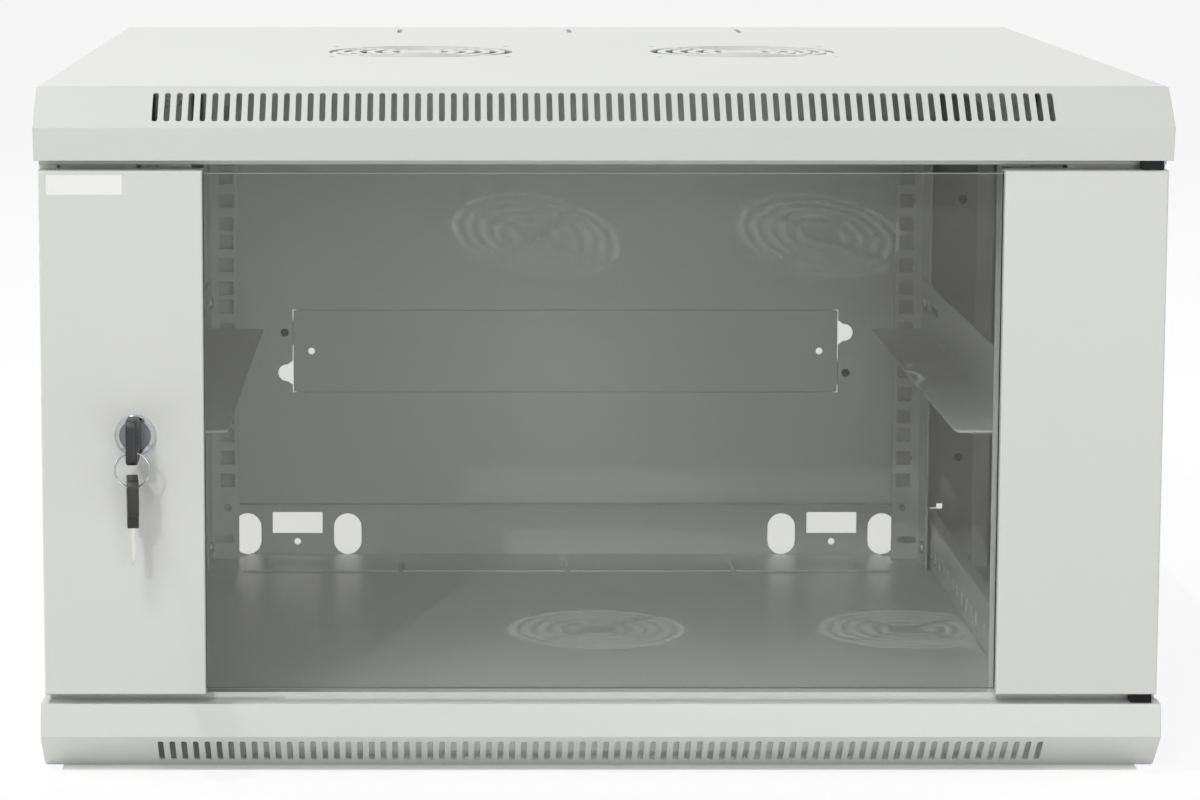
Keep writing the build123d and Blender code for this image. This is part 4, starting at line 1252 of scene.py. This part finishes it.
@dataclass(frozen=True)
class CamLock:
    """Cam lock with its keys on a split ring, in millimetres."""

    lock_x: float = -247.8
    ring_y: float = -318.8
    ring_z: float = 168.622
    ring_radius: float = 9.3
    ring_wire: float = 0.9
    ring_turns: float = 2.05
    ring_height: float = 0.99

    def build(self) -> None:
        """Dresses the lock, rounds the key heads and winds the split ring."""
        dress_nodes(Finish.CHROME, "lock_housing")
        dress_nodes(Finish.BARREL_PAINTED_DARK, "lock_cylinder")
        dress_nodes(Finish.ZINC, "lock_nut", "lock_cam", "cam_screw")
        dress_nodes(Finish.KEY, "key_blade", "spare_key_blade")
        SoftenedCopy("key_grip", "key_head", Finish.ABS).build("key")
        SoftenedCopy("spare_key_grip", "spare_key_head", Finish.ABS).build("spare_key")
        WireCoil(
            "split_ring",
            centre=(self.lock_x, self.ring_y + self.ring_height / 2, self.ring_z),
            axis=(0, -1, 0),
            radius=self.ring_radius,
            wire=self.ring_wire,
            turns=self.ring_turns,
            height=self.ring_height,
            finish=Finish.CHROME,
        ).build("key_ring", "key_ring")


def hang_light(name: str, light: bpy.types.Light, point: Point, target: Point) -> None:
    """Hangs a light turned to a target.

    Args:
        name: the lamp's name.
        light: its light.
        point: where it hangs, in metres.
        target: what it is turned to, in metres.
    """
    obj = bpy.data.objects.new(name, light)
    obj.location = point
    obj.rotation_euler = (Vector(target) - Vector(point)).to_track_quat("-Z", "Y").to_euler()
    bpy.context.scene.collection.objects.link(obj)


@dataclass(frozen=True)
class DistantLamp:
    """A lamp far away, which shines from its point towards the origin."""

    name: str
    point: Point
    strength: float
    angle_deg: float

    def hang(self) -> None:
        """Makes the lamp and sets it in place."""
        light = bpy.data.lights.new(self.name, "SUN")
        light.energy = self.strength
        light.angle = math.radians(self.angle_deg)
        hang_light(self.name, light, self.point, (0, 0, 0))


@dataclass(frozen=True)
class SoftBox:
    """A round soft box, in metres and watts, turned to the cabinet's middle."""

    name: str
    point: Point
    diameter: float
    power: float
    target: Point = (0, 0, 0.18)

    def hang(self) -> None:
        """Makes the lamp and sets it in place."""
        light = bpy.data.lights.new(self.name, "AREA")
        light.shape = "DISK"
        light.size = self.diameter
        light.energy = self.power
        hang_light(self.name, light, self.point, self.target)


@dataclass(frozen=True)
class Studio:
    """Camera, lamps, backdrop and floor."""

    camera_mm: Point = (-85.0, -2252.7, 505.8)
    pitch_deg: float = 7.087
    sensor_mm: float = 36.0
    lens_mm: float = 111.9
    shift: Span = (0.1316, -0.0935)
    clip_m: Span = (0.05, 100.0)
    # The distant lamps shine through the roof's vent rings into the cabinet.
    lamps: Tuple[Union[DistantLamp, SoftBox], ...] = (
        DistantLamp("roof_lamp", (-0.111, -0.035, 0.367), 0.9, 0.7),
        DistantLamp("ring_lamp", (-0.079, -0.277, 0.145), 0.45, 0.6),
        SoftBox("front_softbox", (0.6, -3.2, 0.72), 1.2, 17.0),
        SoftBox("high_softbox", (-0.8, -2.0, 2.2), 0.8, 25.0),
        SoftBox("left_softbox", (-2.3, 0.7, 0.9), 1.0, 26.0),
        SoftBox("right_softbox", (2.3, 0.7, 0.9), 1.0, 26.0),
        SoftBox("rear_softbox", (-0.4, 1.9, 2.6), 1.6, 18.0),
    )
    sky_strength: float = 0.13
    floor_half_m: float = 14.0
    floor_colour: str = "#F6F6F5"
    floor_shade: str = "#F3F3F2"
    floor_cloud_scale: float = 3.0
    floor_white_share: float = 0.86
    footprint_m: float = 0.29

    def build(self) -> None:
        """Sets up the camera, the lamps and the stage."""
        self.build_camera()
        for lamp in self.lamps:
            lamp.hang()
        self.build_sky()
        self.build_floor()

    def build_camera(self) -> None:
        """Places the camera where it matches the photograph best."""
        data = bpy.data.cameras.new("camera")
        data.sensor_width = self.sensor_mm
        data.lens = self.lens_mm
        data.shift_x, data.shift_y = self.shift
        data.clip_start, data.clip_end = self.clip_m
        camera = bpy.data.objects.new("camera", data)
        camera.location = [c * MM for c in self.camera_mm]
        camera.rotation_euler = (math.radians(90 - self.pitch_deg), 0, 0)
        bpy.context.scene.collection.objects.link(camera)
        bpy.context.scene.camera = camera

    def build_sky(self) -> None:
        """Makes a backdrop that looks white and lights the object evenly and faintly."""
        world = bpy.data.worlds.new("studio")
        world.use_nodes = True
        tree = world.node_tree
        tree.nodes.clear()
        strength = add_range(tree, (self.sky_strength, 1.0), add_direct_sight(tree))
        sky = add_node(
            tree, "ShaderNodeBackground", values={"Color": WHITE}, links={"Strength": strength}
        )
        add_node(tree, "ShaderNodeOutputWorld", links={"Surface": sky.outputs[0]})
        bpy.context.scene.world = world

    def build_floor(self) -> None:
        """Lays a white floor that keeps the cabinet's shadow.

        Most of it shines white by itself where it is seen. Under the cabinet it doesn't, so
        that it stays dark behind the openings in the bottom cover.
        """
        shape = bmesh.new()
        bmesh.ops.create_grid(shape, x_segments=2, y_segments=2, size=self.floor_half_m)
        floor = new_object("floor", mesh_from_bmesh("floor", shape))
        material, tree, spot = new_material("white_studio_floor")
        scale = {"Scale": self.floor_cloud_scale}
        cloud = add_node(tree, "ShaderNodeTexNoise", values=scale, links={"Vector": spot})
        tone = add_tone(tree, self.floor_shade, self.floor_colour, cloud.outputs["Fac"])
        lit = add_node(tree, "ShaderNodeBsdfDiffuse", links={"Color": tone})
        white = add_node(tree, "ShaderNodeEmission", values={"Color": WHITE, "Strength": 1.0})
        axes = add_node(tree, "ShaderNodeSeparateXYZ", links={"Vector": spot}).outputs
        away = [add_math(tree, "ABSOLUTE", axes[axis]) for axis in ("X", "Y")]
        farther = add_math(tree, "MAXIMUM", *away)
        outside = add_math(tree, "GREATER_THAN", farther, self.footprint_m)
        seen = add_math(tree, "MULTIPLY", add_direct_sight(tree), outside)
        share = add_math(tree, "MULTIPLY", seen, self.floor_white_share)
        mixed = add_node(
            tree, "ShaderNodeMixShader", links={0: share, 1: lit.outputs[0], 2: white.outputs[0]}
        )
        close_surface(tree, mixed.outputs[0])
        floor.data.materials.append(material)


def main() -> None:
    """Builds the stage and then the sub-assemblies in order."""
    logging.basicConfig(level=logging.INFO)
    bpy.context.scene.view_settings.view_transform = "Standard"
    parts = (
        Studio(),
        CoverFrame(),
        RackRails(),
        RearWall(),
        SidePanels(),
        GlazedDoor(),
        DoorHinges(),
        CamLock(),
    )
    for part in parts:
        part.build()
        log.info("built %s", type(part).__name__)


if __name__ == "__main__":
    main()
